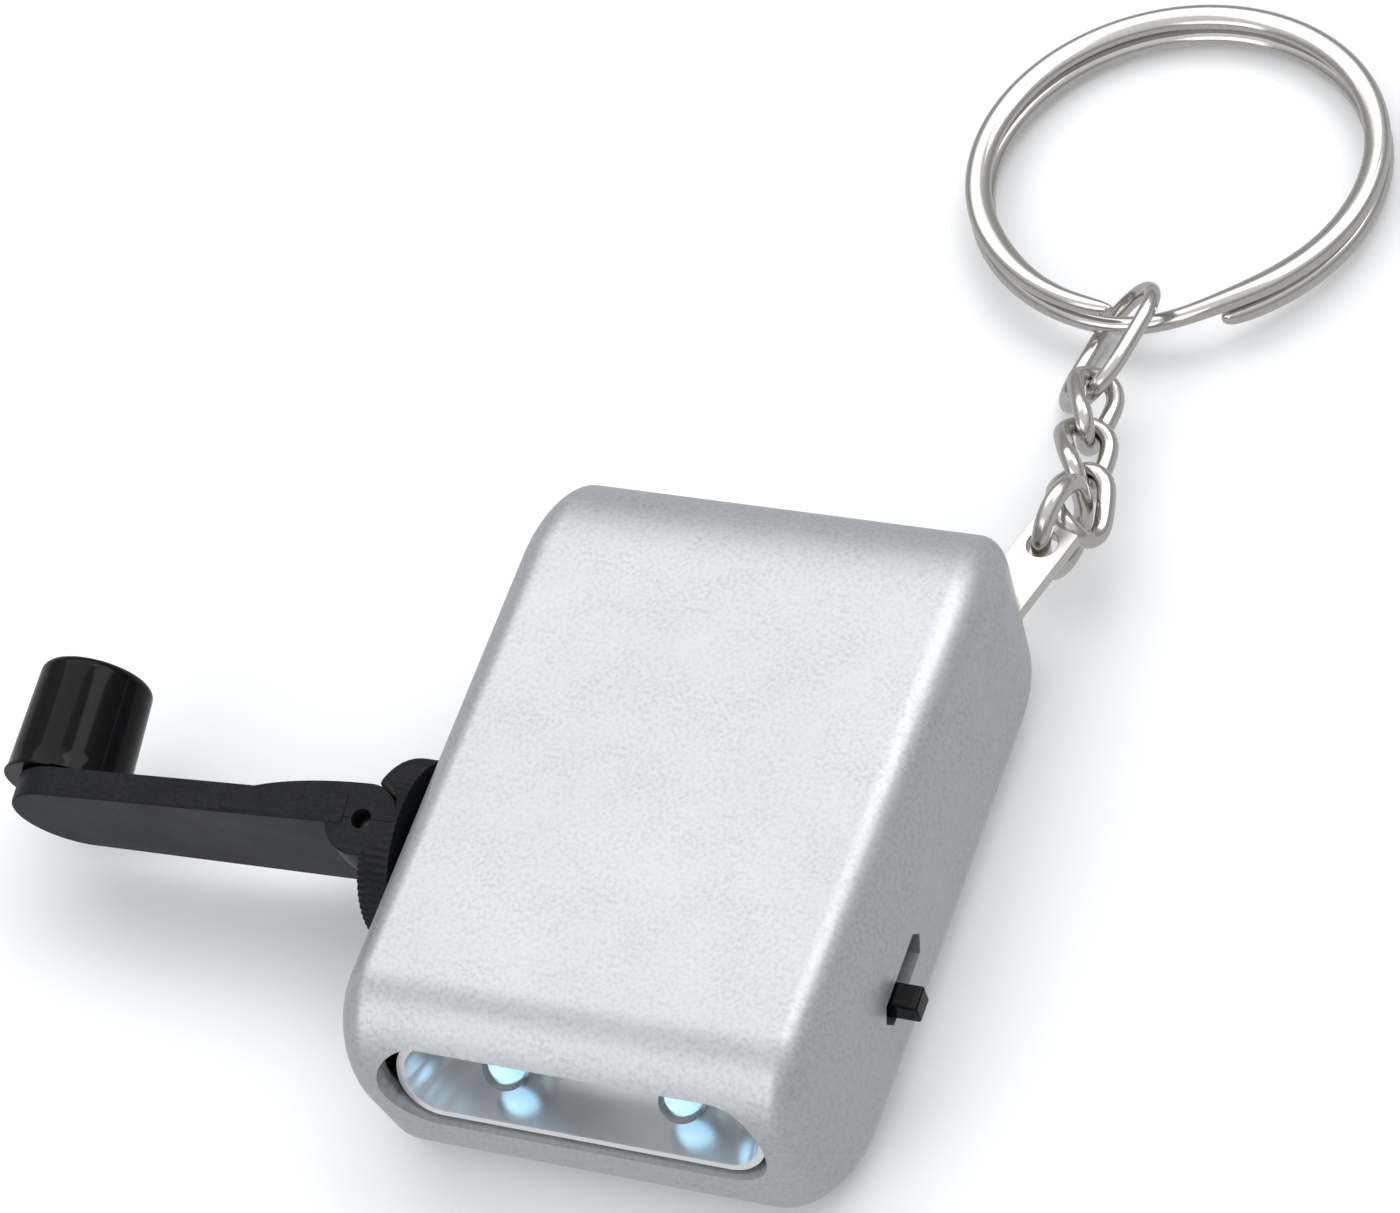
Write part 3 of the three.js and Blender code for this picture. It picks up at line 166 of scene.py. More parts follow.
class LightSettings(bpy.types.PropertyGroup):
    mouth_half_width: size("Mouth half width", "Half the width of the light opening", 13.3)
    mouth_low: size("Mouth floor", "Height of the opening's lower edge", 5.9)
    mouth_high: size("Mouth roof", "Height of the opening's upper edge", 12.9)
    mouth_corner: size("Mouth corner", "Rounding of the opening's corners", 3.4)
    lip_low: size("Lower lip", "Where the dish ends at the lower lip, along the case", -22.55)
    lip_high: size("Upper lip", "Where the dish ends at the upper lip, along the case", -20.1)
    dish_half_width: size("Dish half width", "Half the width of the dish's back wall", 10.8)
    dish_half_height: size("Dish half height", "Half the height of the dish's back wall", 2.2)
    dish_middle: size("Dish middle", "Height of the middle of the dish's back wall", 8.2)
    seam: size("Dish seam", "Gap between the dish and the case's opening", 0.16)
    dish_wall: size("Dish wall", "Thickness of the dish", 0.4)
    lamp_radius: size("Lamp radius", "Radius of a lamp's dome", 1.5)
    flange_radius: size("Flange radius", "Radius of a lamp's flange", 1.9)
    phosphor: size("Phosphor", "Radius of the glowing drop in a lamp", 0.8)
    lamp_spacing: size("Lamp spacing", "Distance between the two lamps", 12.2)
    lamp_height: size("Lamp height", "Height of the lamps' axis", 8.1)
    plating: colour("Plating", "Colour of the chrome plating", (0.94, 0.945, 0.95))


class CrankSettings(bpy.types.PropertyGroup):
    edge: size("Edge", "Rounding of the crank's edges", 0.15)
    axis_y: size("Axis along", "Place of the crank's axis along the case", -5)
    axis_z: size("Axis height", "Height of the crank's axis", 7.8)
    rest_turn: turn("Rest turn", "Turn of the hub as shown", 10)
    rest_fold: turn("Rest fold", "Fold of the arm as shown", 2.9)
    hub_inner: size("Hub inner face", "Where the hub meets the case", -17.2)
    hub_thickness: size("Hub thickness", "Thickness of the hub", 3.0)
    hub_radius: size("Hub radius", "Radius of the hub", 6.3)
    dome_depth: size("Dome depth", "Rounding of the hub's outer edge", 1.6)
    ribs: IntProperty(name="Ribs", description="Fine ribs round the hub", default=76)
    rib_depth: size("Rib depth", "Depth of the ribs", 0.12)
    seat_depth: size("Seat depth", "How deep the folded arm sits in the hub", 0.7)
    journal_radius: size("Journal radius", "Radius of the hub's journal", 3.0)
    journal_end: size("Journal end", "Where the journal ends", -15.15)
    shaft_radius: size("Shaft radius", "Radius of the hub's shaft", 1.2)
    pin_x: size("Pin", "Place of the hinge pin", -20.3)
    pin_radius: size("Pin radius", "Radius of the hinge pin's hole", 0.7)
    lug_radius: size("Lug radius", "Radius of the hub's lug", 2.3)
    lug_half: size("Lug half height", "Half the height of the hub's lug", 1.85)
    knuckle_radius: size("Knuckle radius", "Radius of the arm's knuckle", 2.55)
    knuckle_half: size("Knuckle half height", "Half the height of the arm's knuckle", 5.1)
    hump_length: size("Hump length", "How far the knuckle's hump runs along the arm", 10.4)
    arm_length: size("Arm length", "From the hinge pin to the arm's tip", 27.8)
    arm_back: size("Arm back", "The arm's back face, from the pin's axis", -0.5)
    arm_thickness: size("Arm thickness", "Thickness of the arm", 2.1)
    arm_half: size("Arm half width", "Half the arm's width at the hinge", 5.2)
    tip_half: size("Tip half width", "Half the arm's width at the tip", 4.4)
    tip_length: size("Tip length", "Length of the arm's rounded tip", 4.2)
    knob_from_tip: size("Knob from tip", "From the arm's tip to the knob's axis", 3.0)
    knob_foot: size("Knob foot radius", "Radius of the knob's foot", 4.35)
    knob_base: size("Knob base radius", "Radius of the knob above its foot", 4.22)
    knob_end: size("Knob end radius", "Radius of the knob's free end", 3.95)
    knob_length: size("Knob length", "Length of the knob", 8.4)
    knob_round: size("Knob rounding", "Rounding of the knob's free end", 0.75)
    running_gap: size("Running gap", "Gap between pieces that move past each other", 0.3)
    plastic: colour("Plastic", "Colour of the black plastic", (0.0075, 0.008, 0.0095))


class ChainSettings(bpy.types.PropertyGroup):
    smoothness: IntProperty(
        name="Smoothness", description="Subdivision of the wires", default=2, min=1, max=3)
    stouter: size("Stouter", "How much each small link's wire is rounded out", 0.05)
    big_stouter: size("Stouter big link", "How much the big link's wire is rounded out", 0.02)
    ring_tilt: turn("Ring tilt", "Lean of the ring against the key tab's end", 2.9)
    ring_wider: size("Ring wider", "How much wider than high the ring's wire is", 0.75)
    ring_closer: size("Ring closer", "How far each coil reaches towards the other", 0.19)
    link_clear: turn("Link clear", "Turn on each side of the big link where the wire stays round", 20)
    nickel: colour("Nickel", "Colour of the nickel plating", (0.60, 0.58, 0.55))


class StageSettings(bpy.types.PropertyGroup):
    lens: FloatProperty(name="Lens", description="Focal length of the camera", default=123.3, unit="CAMERA")
    camera_place: FloatVectorProperty(
        name="Camera place", description="Where the camera stands", subtype="TRANSLATION", precision=5,
        default=(118.10 * MM, -144.30 * MM, 256.69 * MM))
    camera_turn: FloatVectorProperty(
        name="Camera turn", description="How the camera is turned", subtype="EULER",
        default=(math.radians(37.040), math.radians(14.1435), math.radians(19.5278)))
    floor_size: size("Floor size", "Side of the floor", 4000)
    floor_gap: size("Floor gap", "How far the floor lies under the case", 0.1)
    floor: colour("Floor", "Colour of the floor", (0.90, 0.905, 0.91))


SETTINGS = {
    "case_settings": CaseSettings,
    "light_settings": LightSettings,
    "crank_settings": CrankSettings,
    "chain_settings": ChainSettings,
    "stage_settings": StageSettings,
}


# Working by hand in code


def deselect():
    if bpy.context.mode != "OBJECT":
        bpy.ops.object.mode_set(mode="OBJECT")
    bpy.ops.object.select_all(action="DESELECT")


def take(*pieces):
    """Selects only these pieces, with the last one active."""
    deselect()
    for piece in pieces:
        piece.select_set(True)
    bpy.context.view_layer.objects.active = pieces[-1]


def edit(piece, kind="VERT"):
    """Opens the piece in edit mode with all of it selected."""
    take(piece)
    bpy.ops.object.mode_set(mode="EDIT")
    bpy.ops.mesh.select_mode(type=kind)
    bpy.ops.mesh.select_all(action="SELECT")


def leave():
    bpy.ops.object.mode_set(mode="OBJECT")


def face_outwards():
    """Turns all faces outwards and leaves edit mode."""
    bpy.ops.mesh.select_all(action="SELECT")
    bpy.ops.mesh.normals_make_consistent(inside=False)
    leave()


def pick(piece, kind, test):
    """Selects the verts, edges or faces of the piece in edit mode that pass the test."""
    bpy.ops.mesh.select_all(action="DESELECT")
    mesh = bmesh.from_edit_mesh(piece.data)
    for item in getattr(mesh, kind):
        if test(item):
            item.select_set(True)
    mesh.select_flush_mode()
    bmesh.update_edit_mesh(piece.data)


def freeze(piece):
    """Moves the piece's place, turn and scale into its mesh."""
    take(piece)
    bpy.ops.object.transform_apply(location=True, rotation=True, scale=True)
    return piece


def put(piece, place):
    piece.matrix_world = place
    return freeze(piece)


def modify(piece, kind, **values):
    take(piece)
    modifier = piece.modifiers.new(kind, kind)
    for key, value in values.items():
        setattr(modifier, key, value)
    bpy.ops.object.modifier_apply(modifier=modifier.name)
    return piece


def combine(piece, tool, operation="DIFFERENCE"):
    modify(piece, "BOOLEAN", object=tool, operation=operation, solver="EXACT")
    bpy.data.objects.remove(tool)
    return piece


def copy_of(piece, name):
    twin = bpy.data.objects.new(name, piece.data.copy())
    bpy.context.scene.collection.objects.link(twin)
    return twin


def middle_of(node):
    low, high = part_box(node)
    return (low + high) / 2


def add(primitive, **values):
    """A new primitive, with its place in its mesh."""
    deselect()
    primitive(**values)
    return freeze(bpy.context.object)


def block(low, high):
    low, high = Vector(low), Vector(high)
    return add(bpy.ops.mesh.primitive_cube_add, size=1, location=(low + high) / 2, scale=high - low)


# How a round primitive is turned to stand along each axis
ALONG = {"X": (0, math.pi / 2, 0), "Y": (-math.pi / 2, 0, 0), "Z": (0, 0, 0)}


def on_axis(axis, centre, height):
    """The point at this height along an axis; centre gives the two other coordinates."""
    return Vector({
        "X": (height, *centre), "Y": (centre[0], height, centre[1]), "Z": (*centre, height)}[axis])


def rod(axis, centre, low, high, radius, sides=64):
    """A cylinder along an axis."""
    return add(
        bpy.ops.mesh.primitive_cone_add, vertices=sides, radius1=radius, radius2=radius, depth=high - low,
        location=on_axis(axis, centre, (low + high) / 2), rotation=ALONG[axis])


def rounded_slab(low, high, corner, steps=10):
    """A plate in the XZ plane from low to high, with rounded corners, extruded along Y."""
    low, high = Vector(low), Vector(high)
    middle = ((low.x + high.x) / 2, low.y, (low.z + high.z) / 2)
    slab = add(bpy.ops.mesh.primitive_plane_add, size=1, location=middle, rotation=(math.pi / 2, 0, 0))
    edit(slab)
    bpy.ops.transform.resize(value=(high.x - low.x, 1, high.z - low.z), center_override=middle)
    bpy.ops.mesh.bevel(affect="VERTICES", offset=corner, segments=steps, clamp_overlap=False)
    bpy.ops.mesh.select_all(action="SELECT")
    bpy.ops.mesh.extrude_region_move(TRANSFORM_OT_translate={"value": (0, high.y - low.y, 0)})
    face_outwards()
    return slab


def lathe(axis, centre, profile, sides=64):
    """Turns a profile of (radius, height) pairs: a disc is extruded and resized from one to the next."""
    radius, height = profile[0]
    middle = on_axis(axis, centre, height)
    piece = add(
        bpy.ops.mesh.primitive_circle_add, vertices=sides, radius=radius, fill_type="NGON",
        location=middle, rotation=ALONG[axis])
    edit(piece, "FACE")
    way = on_axis(axis, (0, 0), 1)
    for (r0, h0), (r1, h1) in zip(profile, profile[1:]):
        bpy.ops.mesh.extrude_region_move(TRANSFORM_OT_translate={"value": way * (h1 - h0)})
        middle = middle + way * (h1 - h0)
        spread = tuple(1 if along else r1 / r0 for along in way)
        bpy.ops.transform.resize(value=spread, center_override=middle)
    face_outwards()
    return piece


def wrap():
    """Stretches one closed skin round all the points of the piece in edit mode."""
    bpy.ops.mesh.convex_hull(join_triangles=False, delete_unused=True)
    bpy.ops.mesh.select_all(action="SELECT")
    bpy.ops.mesh.remove_doubles(threshold=SAME_POINT)


def node_copy(node, name):
    """The node's own mesh as a new piece, with its loose triangles merged."""
    piece = copy_of(frame["nodes"][node], name)
    edit(piece)
    bpy.ops.mesh.remove_doubles(threshold=NODE_SAME_POINT)
    leave()
    return piece


def tidy_flats(piece, angle=0.5):
    """Joins the triangles of each flat face."""
    edit(piece, "FACE")
    bpy.ops.mesh.dissolve_limited(angle_limit=math.radians(angle), delimit={"NORMAL"})
    leave()
    return piece


def smooth(piece, crease, weighted=True):
    """Smooth shading up to the crease's angle, with flat faces kept flat where weighted."""
    take(piece)
    bpy.ops.object.shade_smooth_by_angle(angle=math.radians(crease))
    if weighted:
        modify(piece, "WEIGHTED_NORMAL", keep_sharp=True, weight=80)
    return piece


def round_edges(piece, width, crease, segments):
    return modify(
        piece, "BEVEL", width=width, segments=segments, limit_method="ANGLE",
        angle_limit=math.radians(crease), use_clamp_overlap=True, harden_normals=False)


def settle(piece, name, body, slot, *nodes, look=None):
    """Names a piece, gives it its slot's or look's material and body, and hides the nodes it stands for."""
    piece.name = name
    piece.data.name = name
    piece.data.materials.clear()
    piece.data.materials.append(look_for(look or slot))
    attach(piece, body)
    if nodes:
        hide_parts(*nodes)


# Materials


def new_group(name, inputs, outputs):
    group = bpy.data.node_groups.new(name, "ShaderNodeTree")
    for label, kind, value in inputs:
        socket = group.interface.new_socket(name=label, in_out="INPUT", socket_type="NodeSocket" + kind)
        if value is not None:
            socket.default_value = value
    for label, kind in outputs:
        group.interface.new_socket(name=label, in_out="OUTPUT", socket_type="NodeSocket" + kind)
    return group, group.nodes.new("NodeGroupInput"), group.nodes.new("NodeGroupOutput")


def join(links, start, output, end, socket):
    links.new(start.outputs[output], end.inputs[socket])


def add_node(nodes, kind, **values):
    """A new node with the values of its named sockets; a space in a label is written as an underscore."""
    node = nodes.new("ShaderNode" + kind)
    for label, value in values.items():
        node.inputs[label.replace("_", " ")].default_value = value
    return node


def multiply(nodes, links, first, second):
    """The product of an output and another output or a number."""
    product = nodes.new("ShaderNodeMath")
    product.operation = "MULTIPLY"
    links.new(first, product.inputs[0])
    if isinstance(second, float):
        product.inputs[1].default_value = second
    else:
        links.new(second, product.inputs[1])
    return product.outputs[0]


def marks_group():
    """Roughness that wanders as handling leaves it."""
    group, given, made = new_group(
        "Handling marks",
        [("Vector", "Vector", None), ("Scale", "Float", 150.0),
         ("Low", "Float", 0.2), ("High", "Float", 0.4)],
        [("Roughness", "Float")])
    nodes, links = group.nodes, group.links
    noise = add_node(nodes, "TexNoise", Detail=6, Roughness=0.6)
    spread = add_node(nodes, "MapRange", From_Min=0.3, From_Max=0.7)
    join(links, given, "Vector", noise, "Vector")
    join(links, given, "Scale", noise, "Scale")
    join(links, noise, "Fac", spread, "Value")
    join(links, given, "Low", spread, "To Min")
    join(links, given, "High", spread, "To Max")
    join(links, spread, "Result", made, "Roughness")
    return group


def speckle_group():
    """Fine flecks of a second colour in slow clouds, as in metallic paint or moulded grain."""
    group, given, made = new_group(
        "Fine speckle",
        [("Vector", "Vector", None), ("Scale", "Float", 4000.0),
         ("Base", "Color", (0.6, 0.6, 0.6, 1)), ("Fleck", "Color", (0.4, 0.4, 0.4, 1)),
         ("Amount", "Float", 0.5)],
        [("Color", "Color")])
    nodes, links = group.nodes, group.links
    fine = add_node(nodes, "TexNoise", Detail=3)
    cloud = add_node(nodes, "TexNoise", Detail=4)
    cloud_share = 0.09
    sharpen = add_node(nodes, "MapRange", From_Min=0.42, From_Max=0.68)
    mix = nodes.new("ShaderNodeMix")
    mix.data_type = "RGBA"
    join(links, given, "Vector", fine, "Vector")
    join(links, given, "Vector", cloud, "Vector")
    join(links, given, "Scale", fine, "Scale")
    links.new(multiply(nodes, links, given.outputs["Scale"], cloud_share), cloud.inputs["Scale"])
    join(links, fine, "Fac", sharpen, "Value")
    flecks = multiply(nodes, links, sharpen.outputs["Result"], cloud.outputs["Fac"])
    links.new(multiply(nodes, links, flecks, given.outputs["Amount"]), mix.inputs["Factor"])
    join(links, given, "Base", mix, "A")
    join(links, given, "Fleck", mix, "B")
    join(links, mix, "Result", made, "Color")
    return group


def grain_group():
    """Height of a fine moulded or sprayed grain."""
    group, given, made = new_group(
        "Fine grain",
        [("Vector", "Vector", None), ("Scale", "Float", 2500.0)],
        [("Height", "Float")])
    nodes, links = group.nodes, group.links
    noise = add_node(nodes, "TexNoise", Detail=5, Roughness=0.65)
    join(links, given, "Vector", noise, "Vector")
    join(links, given, "Scale", noise, "Scale")
    join(links, noise, "Fac", made, "Height")
    return group


# The effect groups and the finishes, each made once
GROUPS = {}
LOOKS = {}


def finish_look(name, base, fleck, metallic, rough, speckle, grain, marks, sockets=None):
    """A material whose colour, roughness and bump come from the effect groups.

    speckle is scale and amount, grain is scale and strength, rough is the least and most roughness, marks is
    the scale of its wandering, and sockets holds what else the shader needs.
    """
    if not GROUPS:
        GROUPS.update(marks=marks_group(), speckle=speckle_group(), grain=grain_group())
    look = bpy.data.materials.new(name)
    look.use_nodes = True
    nodes, links = look.node_tree.nodes, look.node_tree.links
    shader = nodes["Principled BSDF"]
    place = nodes.new("ShaderNodeTexCoord")

    def placed(kind, **values):
        node = nodes.new("ShaderNodeGroup")
        node.node_tree = GROUPS[kind]
        join(links, place, "Object", node, "Vector")
        for label, value in values.items():
            node.inputs[label].default_value = value
        return node

    tint = placed("speckle", Scale=speckle[0], Amount=speckle[1], Base=(*base, 1), Fleck=(*fleck, 1))
    join(links, tint, "Color", shader, "Base Color")
    wear = placed("marks", Scale=marks, Low=rough[0], High=rough[1])
    join(links, wear, "Roughness", shader, "Roughness")
    if grain:
        skin = placed("grain", Scale=grain[0])
        bump = add_node(nodes, "Bump", Strength=grain[1], Distance=GRAIN_DEPTH)
        join(links, skin, "Height", bump, "Height")
        join(links, bump, "Normal", shader, "Normal")
    shader.inputs["Metallic"].default_value = metallic
    for key, value in (sockets or {}).items():
        shader.inputs[key].default_value = value
    return look


def shade(value, share):
    return tuple(share * channel for channel in value)


def finishes(scene):
    """The values of every finish: the record's slots, and the ones that single pieces need."""
    paint = scene.case_settings.paint
    plating = scene.light_settings.plating
    plastic = scene.crank_settings.plastic
    nickel = scene.chain_settings.nickel
    return {
        "silver_paint": dict(
            name="Silver paint", base=paint, fleck=shade(paint, 0.62), metallic=0.72, rough=(0.38, 0.45),
            speckle=(3400, 0.75), grain=(3400, 0.5), marks=60),
        "chrome": dict(
            name="Chrome plating", base=plating, fleck=shade(plating, 0.94), metallic=0.9, rough=(0.2, 0.28),
            speckle=(900, 0.3), grain=(700, 0.02), marks=90),
        "nickel": dict(
            name="Nickel plating", base=nickel, fleck=shade(nickel, 0.7), metallic=1.0, rough=(0.13, 0.22),
            speckle=(2600, 0.35), grain=(1800, 0.06), marks=220),
        "nickel_sheet": dict(
            name="Nickel plated sheet", base=shade(nickel, 1.15), fleck=nickel, metallic=1.0,
            rough=(0.3, 0.42), speckle=(2600, 0.35), grain=(1800, 0.15), marks=220),
        "steel": dict(
            name="Plain steel", base=(0.55, 0.56, 0.57), fleck=(0.36, 0.37, 0.38), metallic=1.0,
            rough=(0.25, 0.4), speckle=(2400, 0.4), grain=(1500, 0.1), marks=300),
        # Steel painted near black: painted shade standing in for the shade of the pin's sunk hole
        "steel_with_painted_shade": dict(
            name="Blackened steel", base=(0.05, 0.05, 0.052), fleck=(0.03, 0.03, 0.03), metallic=1.0,
            rough=(0.3, 0.45), speckle=(2400, 0.4), grain=(1500, 0.1), marks=300),
        "black_plastic": dict(
            name="Black moulded plastic", base=plastic, fleck=shade(plastic, 3.0), metallic=0.0,
            rough=(0.34, 0.46), speckle=(3600, 0.7), grain=(2600, 0.6), marks=130,
            sockets={"Specular IOR Level": 0.13}),
        "black_gloss": dict(
            name="Black glossy plastic", base=shade(plastic, 0.35), fleck=shade(plastic, 0.6), metallic=0.0,
            rough=(0.07, 0.13), speckle=(2200, 0.4), grain=(500, 0.02), marks=160,
            sockets={"Specular IOR Level": 0.13}),
        "white_nylon": dict(
            name="Natural nylon", base=(0.80, 0.78, 0.71), fleck=(0.68, 0.65, 0.57), metallic=0.0,
            rough=(0.42, 0.55), speckle=(1800, 0.5), grain=(1600, 0.1), marks=150),
        "board_laminate": dict(
            name="Green laminate", base=(0.035, 0.17, 0.06), fleck=(0.02, 0.10, 0.035), metallic=0.0,
            rough=(0.35, 0.5), speckle=(1500, 0.6), grain=(900, 0.15), marks=150),
        "copper": dict(
            name="Enamelled copper", base=(0.55, 0.20, 0.07), fleck=(0.36, 0.12, 0.04), metallic=1.0,
            rough=(0.2, 0.35), speckle=(5000, 0.6), grain=(4000, 0.5), marks=400),
        "magnet": dict(
            name="Dark ferrite", base=(0.045, 0.047, 0.05), fleck=(0.09, 0.09, 0.09), metallic=0.3,
            rough=(0.5, 0.65), speckle=(3000, 0.6), grain=(2500, 0.3), marks=200),
        "clear_epoxy": dict(
            name="Clear epoxy", base=(0.80, 0.92, 1.0), fleck=(0.72, 0.87, 0.98), metallic=0.0,
            rough=(0.01, 0.04), speckle=(500, 0.4), grain=None, marks=200,
            sockets={"Transmission Weight": 0.92, "IOR": 1.52}),
        "phosphor": dict(
            name="Lamp phosphor", base=(0.75, 0.93, 1.0), fleck=(0.55, 0.85, 1.0), metallic=0.0,
            rough=(0.3, 0.5), speckle=(1500, 0.5), grain=(900, 0.1), marks=300,
            sockets={"Emission Color": (0.42, 0.76, 1.0, 1.0), "Emission Strength": 0.85}),
    }


def look_for(slot):
    """The material of one finish, made at its first use."""
    if slot not in LOOKS:
        LOOKS[slot] = finish_look(**finishes(bpy.context.scene)[slot])
    return LOOKS[slot]


# Shapes that more than one step needs


def pillow(inset, steps):
    """The rounded case grown inwards by inset: eight ellipsoid corners wrapped in one closed skin."""
    s = bpy.context.scene.case_settings
    half_width = s.width / 2 - inset
    half_length = s.length / 2 - inset
    corners = []
    for top in (False, True):
        for back in (False, True):
            side_roll = s.top_side_roll if top else s.floor_side_roll
            end_roll = s.back_roll if back else s.front_roll if top else s.floor_front_roll
            drop = (s.back_drop if back else s.front_drop) if top else s.floor_rise
            roll_x, roll_y, roll_z = (max(roll - inset, LEAST_ROLL) for roll in (side_roll, end_roll, drop))
            for side in (-1, 1):
                x = side * (half_width - roll_x)
                y = (half_length - roll_y) * (1 if back else -1)
                z = s.height - inset - roll_z if top else inset + roll_z
                corners.append(add(
                    bpy.ops.mesh.primitive_uv_sphere_add, segments=4 * steps, ring_count=2 * steps,
                    radius=1, location=(x, y, z), scale=(roll_x, roll_y, roll_z)))
    take(*corners)
    bpy.ops.object.join()
    piece = bpy.context.object
    edit(piece)
    wrap()
    bpy.ops.mesh.dissolve_limited(angle_limit=math.radians(0.3))
    face_outwards()
    return piece


def dish_body(m, inset, front, back, half_width, half_height):
    """The dish's own shape, grown inwards by inset: from the light opening it narrows to its back wall."""
    low, high = m.mouth_low + 2 * m.seam + inset, m.mouth_high - m.seam - inset
    half = m.mouth_half_width - m.seam - inset
    corner = m.mouth_corner - 2 * m.seam - inset
    body = rounded_slab((-half, front, low), (half, back, high), corner, DISH_STEPS)
    middle = Vector((0, back, (low + high) / 2))
    edit(body, "FACE")
    pick(body, "faces", lambda face: face.normal.y > FACING)
    bpy.ops.transform.resize(
        value=(half_width / half, 1, half_height / (high - middle.z)), center_override=middle)
    bpy.ops.transform.translate(value=(0, 0, m.dish_middle - middle.z))
    leave()
    return body


def quarter(steps):
    """Sine and cosine pairs of a quarter turn, without its start."""
    return [(math.sin(a), math.cos(a)) for a in (math.pi / 2 * i / steps for i in range(1, steps + 1))]


def dome_profile(radius, front, steps, pole_share):
    """Radius and height of half a ball whose top is at front, for the lathe."""
    turns = [math.pi / 2 * i / steps for i in range(steps + 1)]
    return [(radius * max(math.sin(a), pole_share), front + radius * (1 - math.cos(a))) for a in turns]


def hub_place(c):
    return Matrix.Translation((0, c.axis_y, c.axis_z)) @ Matrix.Rotation(c.rest_turn, 4, "X")


def arm_place(c):
    return hub_place(c) @ Matrix.Translation((c.pin_x, 0, 0)) @ Matrix.Rotation(c.rest_fold, 4, "Z")


def knob_axis(c):
    """Where the knob's axis meets the arm, from the pin."""
    return -c.arm_length + c.knob_from_tip, 0


def fatten(piece, sides, radius, stouter):
    """Subdivision pulls a wire of few sides inwards, so its skin is first moved out by as much."""
    share = (2 + math.cos(2 * math.pi / sides)) / 3
    edit(piece, "FACE")
    bpy.ops.mesh.tris_convert_to_quads(face_threshold=math.radians(50), shape_threshold=math.radians(80))
    bpy.ops.transform.shrink_fatten(value=(radius + stouter) / share - radius)
    leave()


def flatten_coils(ring, c):
    """A split ring's wire is wider than it is high, and its coils lie on each other."""
    centre = middle_of("split_ring")
    tilt = Matrix.Rotation(-c.ring_tilt, 3, "X")
    level = tilt.inverted()
    mesh = bmesh.new()
    mesh.from_mesh(ring.data)
    mesh.normal_update()
    moves = []
    for vert in mesh.verts:
        place, way = level @ (vert.co - centre), level @ vert.normal
        outwards = Vector((place.x, place.y, 0)).normalized()
        share = (abs(math.atan2(place.x, -place.y)) - c.link_clear) / c.link_clear
        share = min(max(share, 0), 1)
        share = share * share * (3 - 2 * share)
        step = outwards * (min(way.dot(outwards), 0) * c.ring_wider * share)
        if way.z * place.z < 0:
            step.z = way.z * c.ring_closer * share
        moves.append(tilt @ step)
    for vert, step in zip(mesh.verts, moves):
        vert.co += step
    mesh.to_mesh(ring.data)
    mesh.free()


def finish_wire(wire, name, body, node):
    """Rounds a wire of few sides and plates it."""
    smoothness = bpy.context.scene.chain_settings.smoothness
    modify(wire, "SUBSURF", levels=smoothness, render_levels=smoothness)
    smooth(wire, crease=180, weighted=False)
    settle(wire, name, body, "nickel", node)


# The steps, one for each piece or group of like pieces


class LIGHT_OT_dress_inner(bpy.types.Operator):
    """Gives every node of the frame its finish"""

    bl_idname = "keychain_light.dress_inner"
    bl_label = "Inner pieces"

    def execute(self, context):
        slots = {row["node"]: row["material_slot"] for row in frame["record"]["subparts"]}
        for node, piece in frame["nodes"].items():
            look = look_for(slots[node])
            if not piece.material_slots:
                piece.data.materials.append(look)
            for place in piece.material_slots:
                place.material = look
        return {"FINISHED"}


